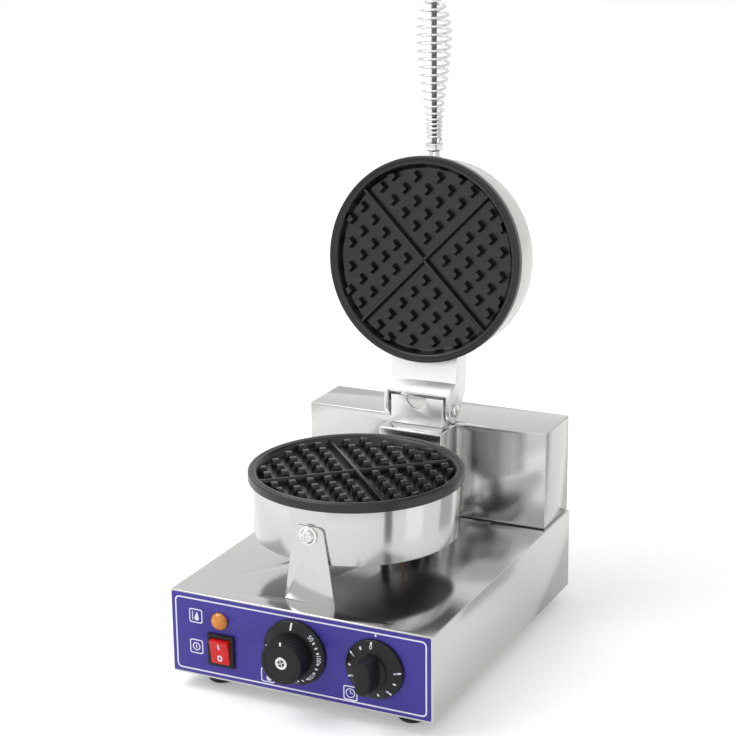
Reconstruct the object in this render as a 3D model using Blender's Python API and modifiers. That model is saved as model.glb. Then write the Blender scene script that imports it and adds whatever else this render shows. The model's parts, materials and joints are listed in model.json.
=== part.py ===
"""Single round belgian waffle maker, lid open, built as separate pieces.

The machine's own frame has its origin at the middle of the front wall's lower edge: X to the
right, Y to the back, Z up. The frame empty moves that to the middle of the space that the
machine stands in, with the feet on Z = 0. Lid pieces are built in the closed lid's own frame,
whose origin is on the hinge axis, and the lid empty swings them open.
"""
import math

import bmesh
import bpy
from mathutils import Matrix, Vector

MM = 0.001

# Fits between pieces
SEAT = 0.3 * MM          # gap left between two pieces that touch
RUN = 0.25 * MM          # radial running clearance of a pin in its hole
OVERRUN = 2 * MM         # how far a cutter passes its wall
MERGE = 0.01 * MM
FLAT_ANGLE = math.radians(0.2)   # faces that meet flatter than this are one face

# Base
BASE_WIDTH = 250 * MM
BASE_DEPTH = 325 * MM
BASE_HEIGHT = 78 * MM
SHEET = 1.0 * MM         # housing sheet
FOLD = 1.2 * MM          # outside radius of a fold
LIP = 9 * MM             # lip folded in round the base's lower edge
FOOT_HEIGHT = 14 * MM

# The base's depth is shared out from the front: gap, drum, gap, hinge post, rear box
DEPTH_PARTS = (24.2, 183.2, 20.6, 35.9, 61.1)
DEPTH_UNIT = BASE_DEPTH / sum(DEPTH_PARTS)
FRONT_GAP, DRUM_WIDTH, POST_GAP, POST_DEPTH, REAR_DEPTH = (DEPTH_UNIT * part for part in DEPTH_PARTS)

# Cooking heads
SHELL_RADIUS = DRUM_WIDTH / 2
HEAD_Y = FRONT_GAP + SHELL_RADIUS            # middle of the lower head
POST_FRONT = FRONT_GAP + DRUM_WIDTH + POST_GAP
FACE_RISE = 92.5 * MM    # top of the lower plate's rim above the base
FACE_Z = BASE_HEIGHT + FACE_RISE
RIM_OVERHANG = 4.3 * MM  # the plate's rim over the drum's side
RIM_RADIUS = SHELL_RADIUS + RIM_OVERHANG
RIM_BAND = 8 * MM
LOWER_HEAD_HEIGHT = 57 * MM
UPPER_HEAD_HEIGHT = 50 * MM
CLOSED_GAP = 0.6 * MM    # between the two rims when the lid is down
SIDES = 48               # facets of the big round pieces

# Rear box
REAR_INSET = 3 * MM      # from the base's side to the box's
REAR_RISE = 94.9 * MM
REAR_WIDTH = BASE_WIDTH - 2 * REAR_INSET
REAR_FRONT = POST_FRONT + POST_DEPTH
REAR_TOP = BASE_HEIGHT + REAR_RISE

# Hinge
HINGE_SETBACK = 7.9 * MM         # axis in front of the rear box
HINGE_RISE = 108 * MM
HINGE_Y = REAR_FRONT - HINGE_SETBACK
HINGE_Z = BASE_HEIGHT + HINGE_RISE
OPEN_ANGLE = math.radians(96.93)
EAR_OUTER = 33.5 * MM    # half width of the arm over its ears
EAR_SHEET = 4 * MM
BRACKET_HALF = 27.2 * MM
BRACKET_SHEET = 2 * MM
PIN_RADIUS = 4 * MM

# Handle
HANDLE_TILT = math.radians(6.93)   # droop of the handle against the lid's plane
HANDLE_BACK = 17.5 * MM            # from the lid's cooking face to the handle's axis
ROD_RADIUS = 2.5 * MM


def on_wall(share, rise):
    """(x, z) of a place on the front or back wall: share of its half width, rise from its middle."""
    return (share * BASE_WIDTH / 2, BASE_HEIGHT / 2 + rise)


# Controls on the front wall, and the gland on the back wall
LAMP_RISE = 17.5 * MM
SWITCH_RISE = -9.5 * MM
THERMOSTAT_RISE = 3 * MM
TIMER_RISE = 2 * MM
GLAND_RISE = -4 * MM
LAMP_AT = on_wall(-0.604, LAMP_RISE)
SWITCH_AT = on_wall(-0.596, SWITCH_RISE)
THERMOSTAT_AT = on_wall(-0.016, THERMOSTAT_RISE)
TIMER_AT = on_wall(0.584, TIMER_RISE)
GLAND_AT = on_wall(0.64, GLAND_RISE)
THERMOSTAT_SKIRT = 29.3 * MM
TIMER_SKIRT = 26.5 * MM
SPINDLE_RADIUS = 3 * MM
KNOB_REACH = 28 * MM     # front of the knobs, measured from the wall
PANEL_SHEET = 0.8 * MM
PANEL_FRONT = SEAT + PANEL_SHEET
GLAND_REACH = 13 * MM    # how far the cord gland stands out at the back

# Colours as red, green, blue; then roughness and metallic
FINISHES = {
    "brushed_steel": ((0.62, 0.62, 0.61), 0.32, 1.0),
    "plain_steel": ((0.50, 0.50, 0.51), 0.40, 1.0),
    "bright_steel": ((0.72, 0.72, 0.73), 0.18, 1.0),
    "nonstick_iron": ((0.035, 0.035, 0.035), 0.50, 0.2),
    "blue_panel": ((0.075, 0.050, 0.420), 0.35, 0.0),
    "black_plastic": ((0.018, 0.018, 0.018), 0.38, 0.0),
    "grey_plastic": ((0.30, 0.30, 0.31), 0.50, 0.0),
    "red_plastic": ((0.75, 0.020, 0.015), 0.25, 0.0),
    "amber_lens": ((0.80, 0.32, 0.020), 0.15, 0.0),
    "rubber": ((0.020, 0.020, 0.020), 0.80, 0.0),
    "glass_fibre": ((0.80, 0.78, 0.72), 0.85, 0.0),
    "copper": ((0.60, 0.28, 0.16), 0.35, 1.0),
    "ceramic": ((0.78, 0.76, 0.72), 0.60, 0.0),
}


def new_collection(name):
    collection = bpy.data.collections.new(name)
    bpy.context.scene.collection.children.link(collection)
    return collection


def clear_scene():
    for obj in list(bpy.data.objects):
        bpy.data.objects.remove(obj, do_unlink=True)


clear_scene()
PARTS = new_collection("waffle_maker")
CUTTERS = new_collection("cutters")


def finish(name):
    """The Principled material of that finish, made once."""
    if name in bpy.data.materials:
        return bpy.data.materials[name]
    colour, roughness, metallic = FINISHES[name]
    mat = bpy.data.materials.new(name)
    mat.use_nodes = True
    shader = mat.node_tree.nodes["Principled BSDF"]
    shader.inputs["Base Color"].default_value = (*colour, 1.0)
    shader.inputs["Roughness"].default_value = roughness
    shader.inputs["Metallic"].default_value = metallic
    return mat


def empty(name, at, turn=(0, 0, 0), parent=None):
    obj = bpy.data.objects.new(name, None)
    obj.location = at
    obj.rotation_euler = turn
    obj.parent = parent
    PARTS.objects.link(obj)
    return obj


def put(obj, parent, at, turn):
    obj.parent = parent
    obj.location = at
    obj.rotation_euler = turn
    return obj


def node(name, bm, look, parent, at=(0, 0, 0), turn=(0, 0, 0)):
    """A piece of the machine, from a bmesh."""
    mesh = bpy.data.meshes.new(name)
    bm.to_mesh(mesh)
    bm.free()
    mesh.materials.append(finish(look))
    obj = bpy.data.objects.new(name, mesh)
    PARTS.objects.link(obj)
    return put(obj, parent, at, turn)


def cutter(name, bm, parent, at=(0, 0, 0), turn=(0, 0, 0)):
    """A helper solid that cuts or joins, and is no piece of the machine."""
    mesh = bpy.data.meshes.new(name)
    bm.to_mesh(mesh)
    bm.free()
    obj = bpy.data.objects.new(name, mesh)
    obj.hide_render = True
    obj.display_type = "WIRE"
    CUTTERS.objects.link(obj)
    return put(obj, parent, at, turn)


def combine(obj, other, operation):
    mod = obj.modifiers.new(other.name, "BOOLEAN")
    mod.object = other
    mod.operation = operation
    mod.solver = "EXACT"
    return obj


def cut(obj, other):
    return combine(obj, other, "DIFFERENCE")


def join(obj, other):
    return combine(obj, other, "UNION")


# Shapes

def block(low, high, bm=None):
    bm = bm or bmesh.new()
    low, high = Vector(low), Vector(high)
    move = Matrix.Translation((low + high) / 2) @ Matrix.Diagonal((*(high - low), 1.0))
    bmesh.ops.create_cube(bm, size=1.0, matrix=move)
    return bm


def drum(radius, low, high, sides=24, top_radius=None, centre=(0, 0), bm=None):
    """A closed cylinder or cone along Z."""
    bm = bm or bmesh.new()
    move = Matrix.Translation((centre[0], centre[1], (low + high) / 2))
    bmesh.ops.create_cone(bm, cap_ends=True, segments=sides, radius1=radius,
                          radius2=radius if top_radius is None else top_radius,
                          depth=high - low, matrix=move)
    return bm


def prism(outline, low, high):
    """A flat outline of (a, b) points, drawn in XY and raised along Z."""
    bm = bmesh.new()
    face = bm.faces.new([bm.verts.new((a, b, low)) for a, b in outline])
    raised = bmesh.ops.extrude_face_region(bm, geom=[face])["geom"]
    top = [item for item in raised if isinstance(item, bmesh.types.BMVert)]
    bmesh.ops.translate(bm, verts=top, vec=(0, 0, high - low))
    bmesh.ops.recalc_face_normals(bm, faces=bm.faces)
    return bm


def soften(bm, width, pick=None, segments=2):
    """Bevels the sharp edges that pick accepts."""
    edges = [e for e in bm.edges if len(e.link_faces) == 2 and e.calc_face_angle() > math.radians(30)]
    if pick:
        edges = [e for e in edges if pick(e)]
    bmesh.ops.bevel(bm, geom=edges, offset=width, segments=segments, affect="EDGES",
                    profile=0.5, material=-1, clamp_overlap=True)
    return bm


def turned(name, profile, look, parent, at=(0, 0, 0), turn=(0, 0, 0), sides=32, closed=False, helper=False):
    """A turned piece. The profile of (radius, z) runs down the outer side, top to bottom."""
    mesh = bpy.data.meshes.new(name)
    edges = [(i, i + 1) for i in range(len(profile) - 1)]
    if closed:
        edges.append((len(profile) - 1, 0))
    mesh.from_pydata([(radius, 0, z) for radius, z in profile], edges, [])
    obj = bpy.data.objects.new(name, mesh)
    if helper:
        obj.hide_render = True
        obj.display_type = "WIRE"
        CUTTERS.objects.link(obj)
    else:
        mesh.materials.append(finish(look))
        PARTS.objects.link(obj)
    mod = obj.modifiers.new("turn", "SCREW")
    mod.axis = "Z"
    mod.angle = math.tau
    mod.steps = sides
    mod.render_steps = sides
    mod.use_merge_vertices = True
    mod.merge_threshold = MERGE
    return put(obj, parent, at, turn)


def arc(centre, radius, start, end, points):
    """Points of an arc, angles in degrees, from start to end."""
    angles = [math.radians(start + (end - start) * i / (points - 1)) for i in range(points)]
    return [(centre[0] + radius * math.cos(a), centre[1] + radius * math.sin(a)) for a in angles]


def open_box(low, high, open_sides, fold=FOLD, lip=None):
    """A folded sheet box as an open surface: named sides are left open, or lipped below."""
    bm = block(low, high)
    ways = {"left": (-1, 0, 0), "right": (1, 0, 0), "front": (0, -1, 0), "back": (0, 1, 0),
            "bottom": (0, 0, -1), "top": (0, 0, 1)}
    for side in open_sides:
        way = Vector(ways[side])
        bm.faces.ensure_lookup_table()
        face = next(f for f in bm.faces if f.normal.dot(way) > 0.9)
        if lip and side == "bottom":
            bmesh.ops.inset_region(bm, faces=[face], thickness=lip)
        bmesh.ops.delete(bm, geom=[face], context="FACES")
    soften(bm, fold)
    return bm


def folded(path, run, outer):
    """An open strip: a path of 3D points swept along run, its faces turned towards outer."""
    bm = bmesh.new()
    verts = [bm.verts.new(p) for p in path]
    edges = [bm.edges.new(pair) for pair in zip(verts, verts[1:])]
    swept = bmesh.ops.extrude_edge_only(bm, edges=edges)["geom"]
    bmesh.ops.translate(bm, verts=[v for v in swept if isinstance(v, bmesh.types.BMVert)], vec=run)
    bm.normal_update()
    if sum(face.normal.dot(Vector(outer)) for face in bm.faces) < 0:
        bmesh.ops.reverse_faces(bm, faces=bm.faces)
    return bm


def thicken(obj, thickness, side=-1):
    mod = obj.modifiers.new("sheet", "SOLIDIFY")
    mod.thickness = thickness
    mod.offset = side
    mod.use_even_offset = True
    return obj


def flat_sheet(name, outlines, thickness, look, parent, at, turn=(0, 0, 0)):
    """A flat sheet with holes: the first outline is the edge, the others are holes."""
    curve = bpy.data.curves.new(name, "CURVE")
    curve.dimensions = "2D"
    curve.fill_mode = "BOTH"
    curve.extrude = thickness / 2
    for outline in outlines:
        spline = curve.splines.new("POLY")
        spline.points.add(len(outline) - 1)
        for point, (a, b) in zip(spline.points, outline):
            point.co = (a, b, 0, 1)
        spline.use_cyclic_u = True
    curve.materials.append(finish(look))
    obj = bpy.data.objects.new(name, curve)
    PARTS.objects.link(obj)
    return put(obj, parent, at, turn)


def wire(name, points, radius, look, parent, at=(0, 0, 0), turn=(0, 0, 0), roundness=2):
    """A tube along a polyline of points, with filled ends."""
    curve = bpy.data.curves.new(name, "CURVE")
    curve.dimensions = "3D"
    curve.fill_mode = "FULL"
    curve.bevel_depth = radius
    curve.bevel_resolution = roundness
    curve.use_fill_caps = True
    spline = curve.splines.new("POLY")
    spline.points.add(len(points) - 1)
    for point, place in zip(spline.points, points):
        point.co = (*place, 1)
    curve.materials.append(finish(look))
    obj = bpy.data.objects.new(name, curve)
    PARTS.objects.link(obj)
    return put(obj, parent, at, turn)


def rectangle(half_a, half_b, centre=(0, 0), corner=0.0, points=3):
    a, b = centre
    corners = ((1, 1, 0), (-1, 1, 90), (-1, -1, 180), (1, -1, 270))
    if not corner:
        return [(a + side_a * half_a, b + side_b * half_b) for side_a, side_b, start in corners]
    outline = []
    for side_a, side_b, start in corners:
        middle = (a + side_a * (half_a - corner), b + side_b * (half_b - corner))
        outline += arc(middle, corner, start, start + 90, points)
    return outline


def ring_points(radius, count, centre=(0, 0)):
    angles = [math.tau * i / count for i in range(count)]
    return [(centre[0] + radius * math.cos(a), centre[1] + radius * math.sin(a)) for a in angles]


# Frames

KNOB_FRONT = -KNOB_REACH
MIDDLE_Y = (KNOB_FRONT + BASE_DEPTH + GLAND_REACH) / 2
FRAME = empty("machine_frame", (0, -MIDDLE_Y, FOOT_HEIGHT))
LID = empty("lid_hinge", (0, HINGE_Y, HINGE_Z), (-OPEN_ANGLE, 0, 0), FRAME)
FACING_FRONT = (math.radians(90), 0, 0)     # turns local Z to the front and local Y up
FACING_BACK = (math.radians(-90), 0, 0)
FACING_RIGHT = (0, math.radians(90), 0)


# Base housing

LEAD_INSET = 43.6 * MM   # leads and probe inside the drum's side
LEAD_REACH = SHELL_RADIUS - LEAD_INSET
FRONT_LEAD_Y = HEAD_Y + LEAD_REACH   # where the lower head's leads and probe come up
GROMMET_NECK = 7 * MM
SLEEVE_RADIUS = 4.5 * MM
LEAD_BORE = SLEEVE_RADIUS + SEAT
PROBE_RADIUS = 1.2 * MM
PROBE_X = 20 * MM
POST_HALF = 32.3 * MM
POST_RISE = 93 * MM
POST_TOP = BASE_HEIGHT + POST_RISE
POST_FOLD = 2 * MM
LEG_SHEET = 1.5 * MM
LEG_HALF = 24 * MM
LEG_RISE = 69 * MM
LEG_SCREW_RISE = 61 * MM
SWITCH_BODY = (10.5 * MM, 12.5 * MM)
LAMP_NECK = 6 * MM
GLAND_THREAD = 7.5 * MM
FOOT_INSET_X = 32 * MM
FOOT_INSET_Y = 30 * MM
FOOT_STEM = 4 * MM


def leg_face(front):
    """Y of the outer face of a support leg, against the front or back of the lower drum."""
    drum_side = HEAD_Y - SHELL_RADIUS if front else HEAD_Y + SHELL_RADIUS
    return drum_side - SEAT - LEG_SHEET if front else drum_side + SEAT + LEG_SHEET


def leg_slot(front):
    face = leg_face(front)
    inner = face + LEG_SHEET if front else face - LEG_SHEET
    low, high = min(face, inner), max(face, inner)
    return block((-LEG_HALF - SEAT, low - SEAT, BASE_HEIGHT - SHEET - OVERRUN),
                 (LEG_HALF + SEAT, high + SEAT, BASE_HEIGHT + OVERRUN))


def base_shell():
    bm = open_box((-BASE_WIDTH / 2, 0, 0), (BASE_WIDTH / 2, BASE_DEPTH, BASE_HEIGHT), ["bottom"], lip=LIP)
    shell = thicken(node("base_shell", bm, "brushed_steel", FRAME), SHEET)
    for name, at, radius in (("thermostat", THERMOSTAT_AT, SPINDLE_RADIUS + SEAT + RUN),
                             ("timer", TIMER_AT, SPINDLE_RADIUS + SEAT + RUN),
                             ("lamp", LAMP_AT, LAMP_NECK + SEAT)):
        hole = cutter("wall_hole_" + name, drum(radius, -OVERRUN, SHEET + OVERRUN, 16), FRAME,
                      (at[0], 0, at[1]), FACING_BACK)
        cut(shell, hole)
    half_x, half_z = (half + SEAT for half in SWITCH_BODY)
    window = block((SWITCH_AT[0] - half_x, -OVERRUN, SWITCH_AT[1] - half_z),
                   (SWITCH_AT[0] + half_x, SHEET + OVERRUN, SWITCH_AT[1] + half_z))
    cut(shell, cutter("switch_window", window, FRAME))
    grommet_hole = drum(GROMMET_NECK + SEAT, BASE_HEIGHT - SHEET - OVERRUN, BASE_HEIGHT + OVERRUN, 20,
                        centre=(0, FRONT_LEAD_Y))
    drum(PROBE_RADIUS + SEAT, BASE_HEIGHT - SHEET - OVERRUN, BASE_HEIGHT + OVERRUN, 10,
         centre=(PROBE_X, FRONT_LEAD_Y), bm=grommet_hole)
    cut(shell, cutter("grommet_hole", grommet_hole, FRAME))
    post_hole = block((-POST_HALF + LIP, POST_FRONT + LIP, BASE_HEIGHT - SHEET - OVERRUN),
                      (POST_HALF - LIP, REAR_FRONT - SHEET, BASE_HEIGHT + OVERRUN))
    cut(shell, cutter("post_hole", post_hole, FRAME))
    cut(shell, cutter("front_leg_slot", leg_slot(True), FRAME))
    cut(shell, cutter("rear_leg_slot", leg_slot(False), FRAME))
    gland_hole = drum(GLAND_THREAD + SEAT, -OVERRUN, SHEET + OVERRUN, 20)
    gland_at = (GLAND_AT[0], BASE_DEPTH, GLAND_AT[1])
    cut(shell, cutter("gland_hole", gland_hole, FRAME, gland_at, FACING_FRONT))
    stems = bmesh.new()
    for x, y in foot_places().values():
        drum(FOOT_STEM + SEAT, -OVERRUN, SHEET + OVERRUN, 12, centre=(x, y), bm=stems)
    cut(shell, cutter("foot_holes", stems, FRAME))
    return shell


def foot_places():
    x = BASE_WIDTH / 2 - FOOT_INSET_X
    front, rear = FOOT_INSET_Y, BASE_DEPTH - FOOT_INSET_Y
    return {"front_left": (-x, front), "front_right": (x, front),
            "rear_left": (-x, rear), "rear_right": (x, rear)}


BOTTOM_LOW = SHEET + SEAT
SLOT_LENGTH = 46 * MM
SLOT_WIDTH = 4 * MM
SLOT_PITCH = 12 * MM
SLOTS = 7
CORNER_CUT = 4 * MM


def bottom_plate():
    gap = SHEET + SEAT
    half_x = BASE_WIDTH / 2 - gap
    half_y = BASE_DEPTH / 2 - gap
    outlines = [rectangle(half_x, half_y, corner=CORNER_CUT)]
    for side in (-1, 1):
        for i in range(SLOTS):
            y = (i - (SLOTS - 1) / 2) * SLOT_PITCH
            centre = (side * SLOT_LENGTH, y)
            outlines.append(rectangle(SLOT_LENGTH / 2, SLOT_WIDTH / 2, centre, SLOT_WIDTH / 2))
    for x, y in foot_places().values():
        outlines.append(ring_points(FOOT_STEM + SEAT, 12, (x, y - BASE_DEPTH / 2)))
    at = (0, BASE_DEPTH / 2, BOTTOM_LOW + SHEET / 2)
    flat_sheet("bottom_plate", outlines, SHEET, "plain_steel", FRAME, at)


def feet():
    top_radius = 14.5 * MM
    bottom_radius = 12.5 * MM
    round_edge = 1.5 * MM
    recess = 5 * MM
    recess_depth = 4 * MM
    stem_top = BOTTOM_LOW + SHEET + SEAT
    head_radius = 6.5 * MM
    head_rise = 2 * MM
    head_top = stem_top + head_rise
    profile = [(0, head_top), (head_radius, head_top), (head_radius, stem_top), (FOOT_STEM, stem_top),
               (FOOT_STEM, -SEAT), (top_radius, -SEAT), (bottom_radius, -FOOT_HEIGHT + round_edge),
               (bottom_radius - round_edge, -FOOT_HEIGHT), (recess, -FOOT_HEIGHT),
               (recess, -FOOT_HEIGHT + recess_depth), (0, -FOOT_HEIGHT + recess_depth)]
    for name, (x, y) in foot_places().items():
        turned("foot_" + name, profile, "rubber", FRAME, (x, y, 0), sides=16)


# Front panel and controls

def front_panel():
    side_margin = 1.8 * MM
    low_margin = 2.6 * MM
    high_margin = 1.4 * MM
    half_x = BASE_WIDTH / 2 - side_margin
    half_z = (BASE_HEIGHT - low_margin - high_margin) / 2
    middle = low_margin + half_z

    def at(place):
        return (place[0], place[1] - middle)

    outlines = [rectangle(half_x, half_z),
                ring_points(SPINDLE_RADIUS + SEAT + RUN, 16, at(THERMOSTAT_AT)),
                ring_points(SPINDLE_RADIUS + SEAT + RUN, 16, at(TIMER_AT)),
                ring_points(LAMP_NECK + SEAT, 16, at(LAMP_AT)),
                rectangle(SWITCH_BODY[0] + SEAT, SWITCH_BODY[1] + SEAT, at(SWITCH_AT))]
    flat_sheet("front_panel", outlines, PANEL_SHEET, "blue_panel", FRAME,
               (0, -SEAT - PANEL_SHEET / 2, middle), FACING_FRONT)


def knob_place(at):
    """The panel's surface at a control, with local Z facing the front."""
    return (at[0], -PANEL_FRONT, at[1])


SPINDLE_END = -14 * MM           # how far the spindles reach behind the panel's surface
BODY_FACE = -(PANEL_FRONT + SHEET + SEAT)


def spindle(name, top):
    return cutter(name, drum(SPINDLE_RADIUS, SPINDLE_END, top, 16), FRAME)


def thermostat_knob():
    """A skirt with a sloped scale, and a fluted round grip."""
    skirt_radius = THERMOSTAT_SKIRT
    skirt_edge = 2.2 * MM
    scale_radius = 21.5 * MM
    scale_rise = 7.5 * MM
    grip_radius = 19.5 * MM
    flute = 0.7 * MM
    flutes = 36
    grip_top = KNOB_REACH - PANEL_FRONT
    edge_round = 1.2 * MM
    disc_radius = 6 * MM
    disc_recess = 1.5 * MM
    lift = SEAT
    place = knob_place(THERMOSTAT_AT)
    profile = [(0, scale_rise), (scale_radius, scale_rise),
               (skirt_radius - edge_round, lift + skirt_edge + edge_round),
               (skirt_radius, lift + skirt_edge), (skirt_radius, lift), (0, lift)]
    knob = turned("thermostat_knob", profile, "black_plastic", FRAME, place, FACING_FRONT, 40)
    radii = [grip_radius - flute * (i % 2) for i in range(2 * flutes)]
    step = math.tau / len(radii)
    outline = [(r * math.cos(step * i), r * math.sin(step * i)) for i, r in enumerate(radii)]
    grip = prism(outline, lift + skirt_edge, grip_top)
    soften(grip, edge_round, lambda e: min(v.co.z for v in e.verts) > grip_top - MERGE, 1)
    grip = cutter("thermostat_grip", grip, FRAME, knob.location, FACING_FRONT)
    join(knob, grip)
    recess = drum(disc_radius, grip_top - disc_recess, grip_top + OVERRUN, 20)
    cut(knob, cutter("thermostat_disc_recess", recess, FRAME, knob.location, FACING_FRONT))
    stem = cutter("thermostat_spindle", drum(SPINDLE_RADIUS, SPINDLE_END, skirt_edge, 16), FRAME,
                  knob.location, FACING_FRONT)
    join(knob, stem)
    slot_width = 1.2 * MM
    slot_depth = 0.6 * MM
    disc_top = grip_top - SEAT
    disc = drum(disc_radius - SEAT, grip_top - disc_recess + SEAT, disc_top, 20)
    disc = node("thermostat_knob_disc", disc, "bright_steel", FRAME, knob.location, FACING_FRONT)
    slot = block((-disc_radius, -slot_width / 2, disc_top - slot_depth),
                 (disc_radius, slot_width / 2, disc_top + OVERRUN))
    cut(disc, cutter("disc_slot", slot, FRAME, knob.location, FACING_FRONT))


def timer_knob():
    """A skirt with a sloped scale, a round boss and a bar grip."""
    skirt_radius = TIMER_SKIRT
    skirt_edge = 2.2 * MM
    scale_radius = 17 * MM
    scale_rise = 7 * MM
    boss_radius = 13.5 * MM
    boss_top = 9 * MM
    bar_half_width = 5 * MM
    bar_half_length = 13.5 * MM
    bar_draft_share = 0.86
    grip_top = KNOB_REACH - PANEL_FRONT
    edge_round = 1.2 * MM
    lift = SEAT
    profile = [(0, boss_top), (boss_radius - edge_round, boss_top), (boss_radius, boss_top - edge_round),
               (boss_radius, scale_rise), (scale_radius, scale_rise),
               (skirt_radius - edge_round, lift + skirt_edge + edge_round),
               (skirt_radius, lift + skirt_edge), (skirt_radius, lift), (0, lift)]
    knob = turned("timer_knob", profile, "black_plastic", FRAME, knob_place(TIMER_AT), FACING_FRONT, 36)
    outline = rectangle(bar_half_width, bar_half_length, corner=bar_half_width, points=6)
    bar = prism(outline, skirt_edge, grip_top)
    for vert in bar.verts:
        if vert.co.z > grip_top - MERGE:
            vert.co.x *= bar_draft_share
            vert.co.y *= bar_draft_share
    soften(bar, edge_round, lambda e: min(v.co.z for v in e.verts) > grip_top - MERGE, 2)
    join(knob, cutter("timer_bar", bar, FRAME, knob.location, FACING_FRONT))
    join(knob, cutter("timer_spindle", drum(SPINDLE_RADIUS, SPINDLE_END, skirt_edge, 16), FRAME,
                      knob.location, FACING_FRONT))


def control_body(name, at, half_x, half_z, depth, round_back):
    """The closed body behind a knob, with a bore for its spindle."""
    bm = block((-half_x, -half_z, BODY_FACE - depth), (half_x, half_z, BODY_FACE))
    soften(bm, round_back, lambda e: abs(e.verts[0].co.z - e.verts[1].co.z) > depth / 2, 2)
    body = node(name, bm, "grey_plastic", FRAME, knob_place(at), FACING_FRONT)
    bore = drum(SPINDLE_RADIUS + RUN, SPINDLE_END - SEAT, BODY_FACE + OVERRUN, 16)
    cut(body, cutter(name + "_bore", bore, FRAME, body.location, FACING_FRONT))
    return body


def control_bodies():
    thermostat_half = (18 * MM, 15 * MM)
    thermostat_depth = 30 * MM
    timer_half = (21 * MM, 21 * MM)
    timer_depth = 36 * MM
    corner = 3 * MM
    control_body("thermostat_body", THERMOSTAT_AT, *thermostat_half, thermostat_depth, corner)
    timer = control_body("timer_body", TIMER_AT, *timer_half, timer_depth, corner)
    bell_radius = 16 * MM
    bell_rise = 7 * MM
    bell_post = 3 * MM
    back = BODY_FACE - timer_depth
    bell = [(bell_post, back + OVERRUN), (bell_post, back - bell_post), (bell_radius, back - bell_post),
            (bell_radius, back - bell_rise), (0, back - bell_rise), (0, back + OVERRUN)]
    bell = turned("timer_bell", bell, None, FRAME, timer.location, FACING_FRONT, 16, helper=True)
    join(timer, bell)
    return thermostat_half, thermostat_depth


def lamp():
    lens_radius = 8.3 * MM
    flange = 1.2 * MM
    dome_rise = 4.5 * MM
    lift = SEAT
    neck_end = BODY_FACE - SHEET
    dome = [(lens_radius * math.sin(a), lift + flange + dome_rise * math.cos(a))
            for a in (math.pi / 2 * i / 4 for i in range(5))]
    profile = dome + [(lens_radius, lift), (LAMP_NECK, lift), (LAMP_NECK, neck_end), (0, neck_end)]
    turned("lamp_lens", profile, "amber_lens", FRAME, knob_place(LAMP_AT), FACING_FRONT, 20)
    body_radius = 7.5 * MM
    body_length = 20 * MM
    tail_radius = 4 * MM
    tail_length = 5 * MM
    top = neck_end - SEAT
    shoulder = top - body_length
    end = shoulder - tail_length
    profile = [(0, top), (body_radius, top), (body_radius, shoulder), (tail_radius, shoulder),
               (tail_radius, end), (0, end)]
    turned("lamp_body", profile, "grey_plastic", FRAME, knob_place(LAMP_AT), FACING_FRONT, 12)


ROCKER_HALF = (9 * MM, 10.8 * MM)
ROCKER_DEEP = 4 * MM             # pivot below the bezel's face
ROCKER_TILT = math.radians(9)
BEZEL_RISE = 2.6 * MM


def rocker():
    """A bezel with a well, and the button that rocks about X in it."""
    bezel_half = (13 * MM, 14.9 * MM)
    bezel_round = 0.8 * MM
    body_depth = 22 * MM
    well_depth = 13 * MM
    lift = SEAT
    bm = block((-bezel_half[0], -bezel_half[1], lift), (bezel_half[0], bezel_half[1], lift + BEZEL_RISE))
    soften(bm, bezel_round, lambda e: max(v.co.z for v in e.verts) > lift + MERGE, 2)
    frame = node("rocker_frame", bm, "black_plastic", FRAME, knob_place(SWITCH_AT), FACING_FRONT)
    body = block((-SWITCH_BODY[0], -SWITCH_BODY[1], -body_depth),
                 (SWITCH_BODY[0], SWITCH_BODY[1], lift + BEZEL_RISE / 2))
    join(frame, cutter("rocker_body", body, FRAME, frame.location, FACING_FRONT))
    gap_x = 2 * SEAT
    gap_z = 3 * SEAT
    well = block((-ROCKER_HALF[0] - gap_x, -ROCKER_HALF[1] - gap_z, -well_depth),
                 (ROCKER_HALF[0] + gap_x, ROCKER_HALF[1] + gap_z, lift + BEZEL_RISE + OVERRUN))
    cut(frame, cutter("rocker_well", well, FRAME, frame.location, FACING_FRONT))
    pin_radius = 1.2 * MM
    pivot_z = lift + BEZEL_RISE - ROCKER_DEEP
    pin_reach = ROCKER_HALF[0] + gap_x + pin_radius
    pins = drum(pin_radius + RUN, -pin_reach, pin_reach, 16)
    axis_at = frame.location + Vector((0, -pivot_z, 0))
    cut(frame, cutter("rocker_pin_holes", pins, FRAME, axis_at, FACING_RIGHT))
    crown = 2.6 * MM
    valley = 0.9 * MM
    keel = 5 * MM
    keel_half = 5 * MM
    top = ROCKER_DEEP + crown
    end = ROCKER_HALF[1]
    points = [(-end, -keel / 2), (-keel_half, -keel), (keel_half, -keel), (end, -keel / 2),
              (end, top), (0, top - valley), (-end, top)]
    bm = prism(points, -ROCKER_HALF[0], ROCKER_HALF[0])
    # The prism lies along Z: turned so that its first axis is up the panel and its second faces out
    bmesh.ops.rotate(bm, verts=bm.verts, matrix=Matrix(((0, 0, 1), (1, 0, 0), (0, 1, 0))))
    pivot = empty("rocker_pivot", axis_at, (math.radians(90) + ROCKER_TILT, 0, 0), FRAME)
    button = node("rocker_button", bm, "red_plastic", pivot)
    axle = drum(pin_radius, -ROCKER_HALF[0] - pin_radius, ROCKER_HALF[0] + pin_radius, 12)
    join(button, cutter("rocker_axle", axle, pivot, turn=FACING_RIGHT))


# Inside the base

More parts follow.
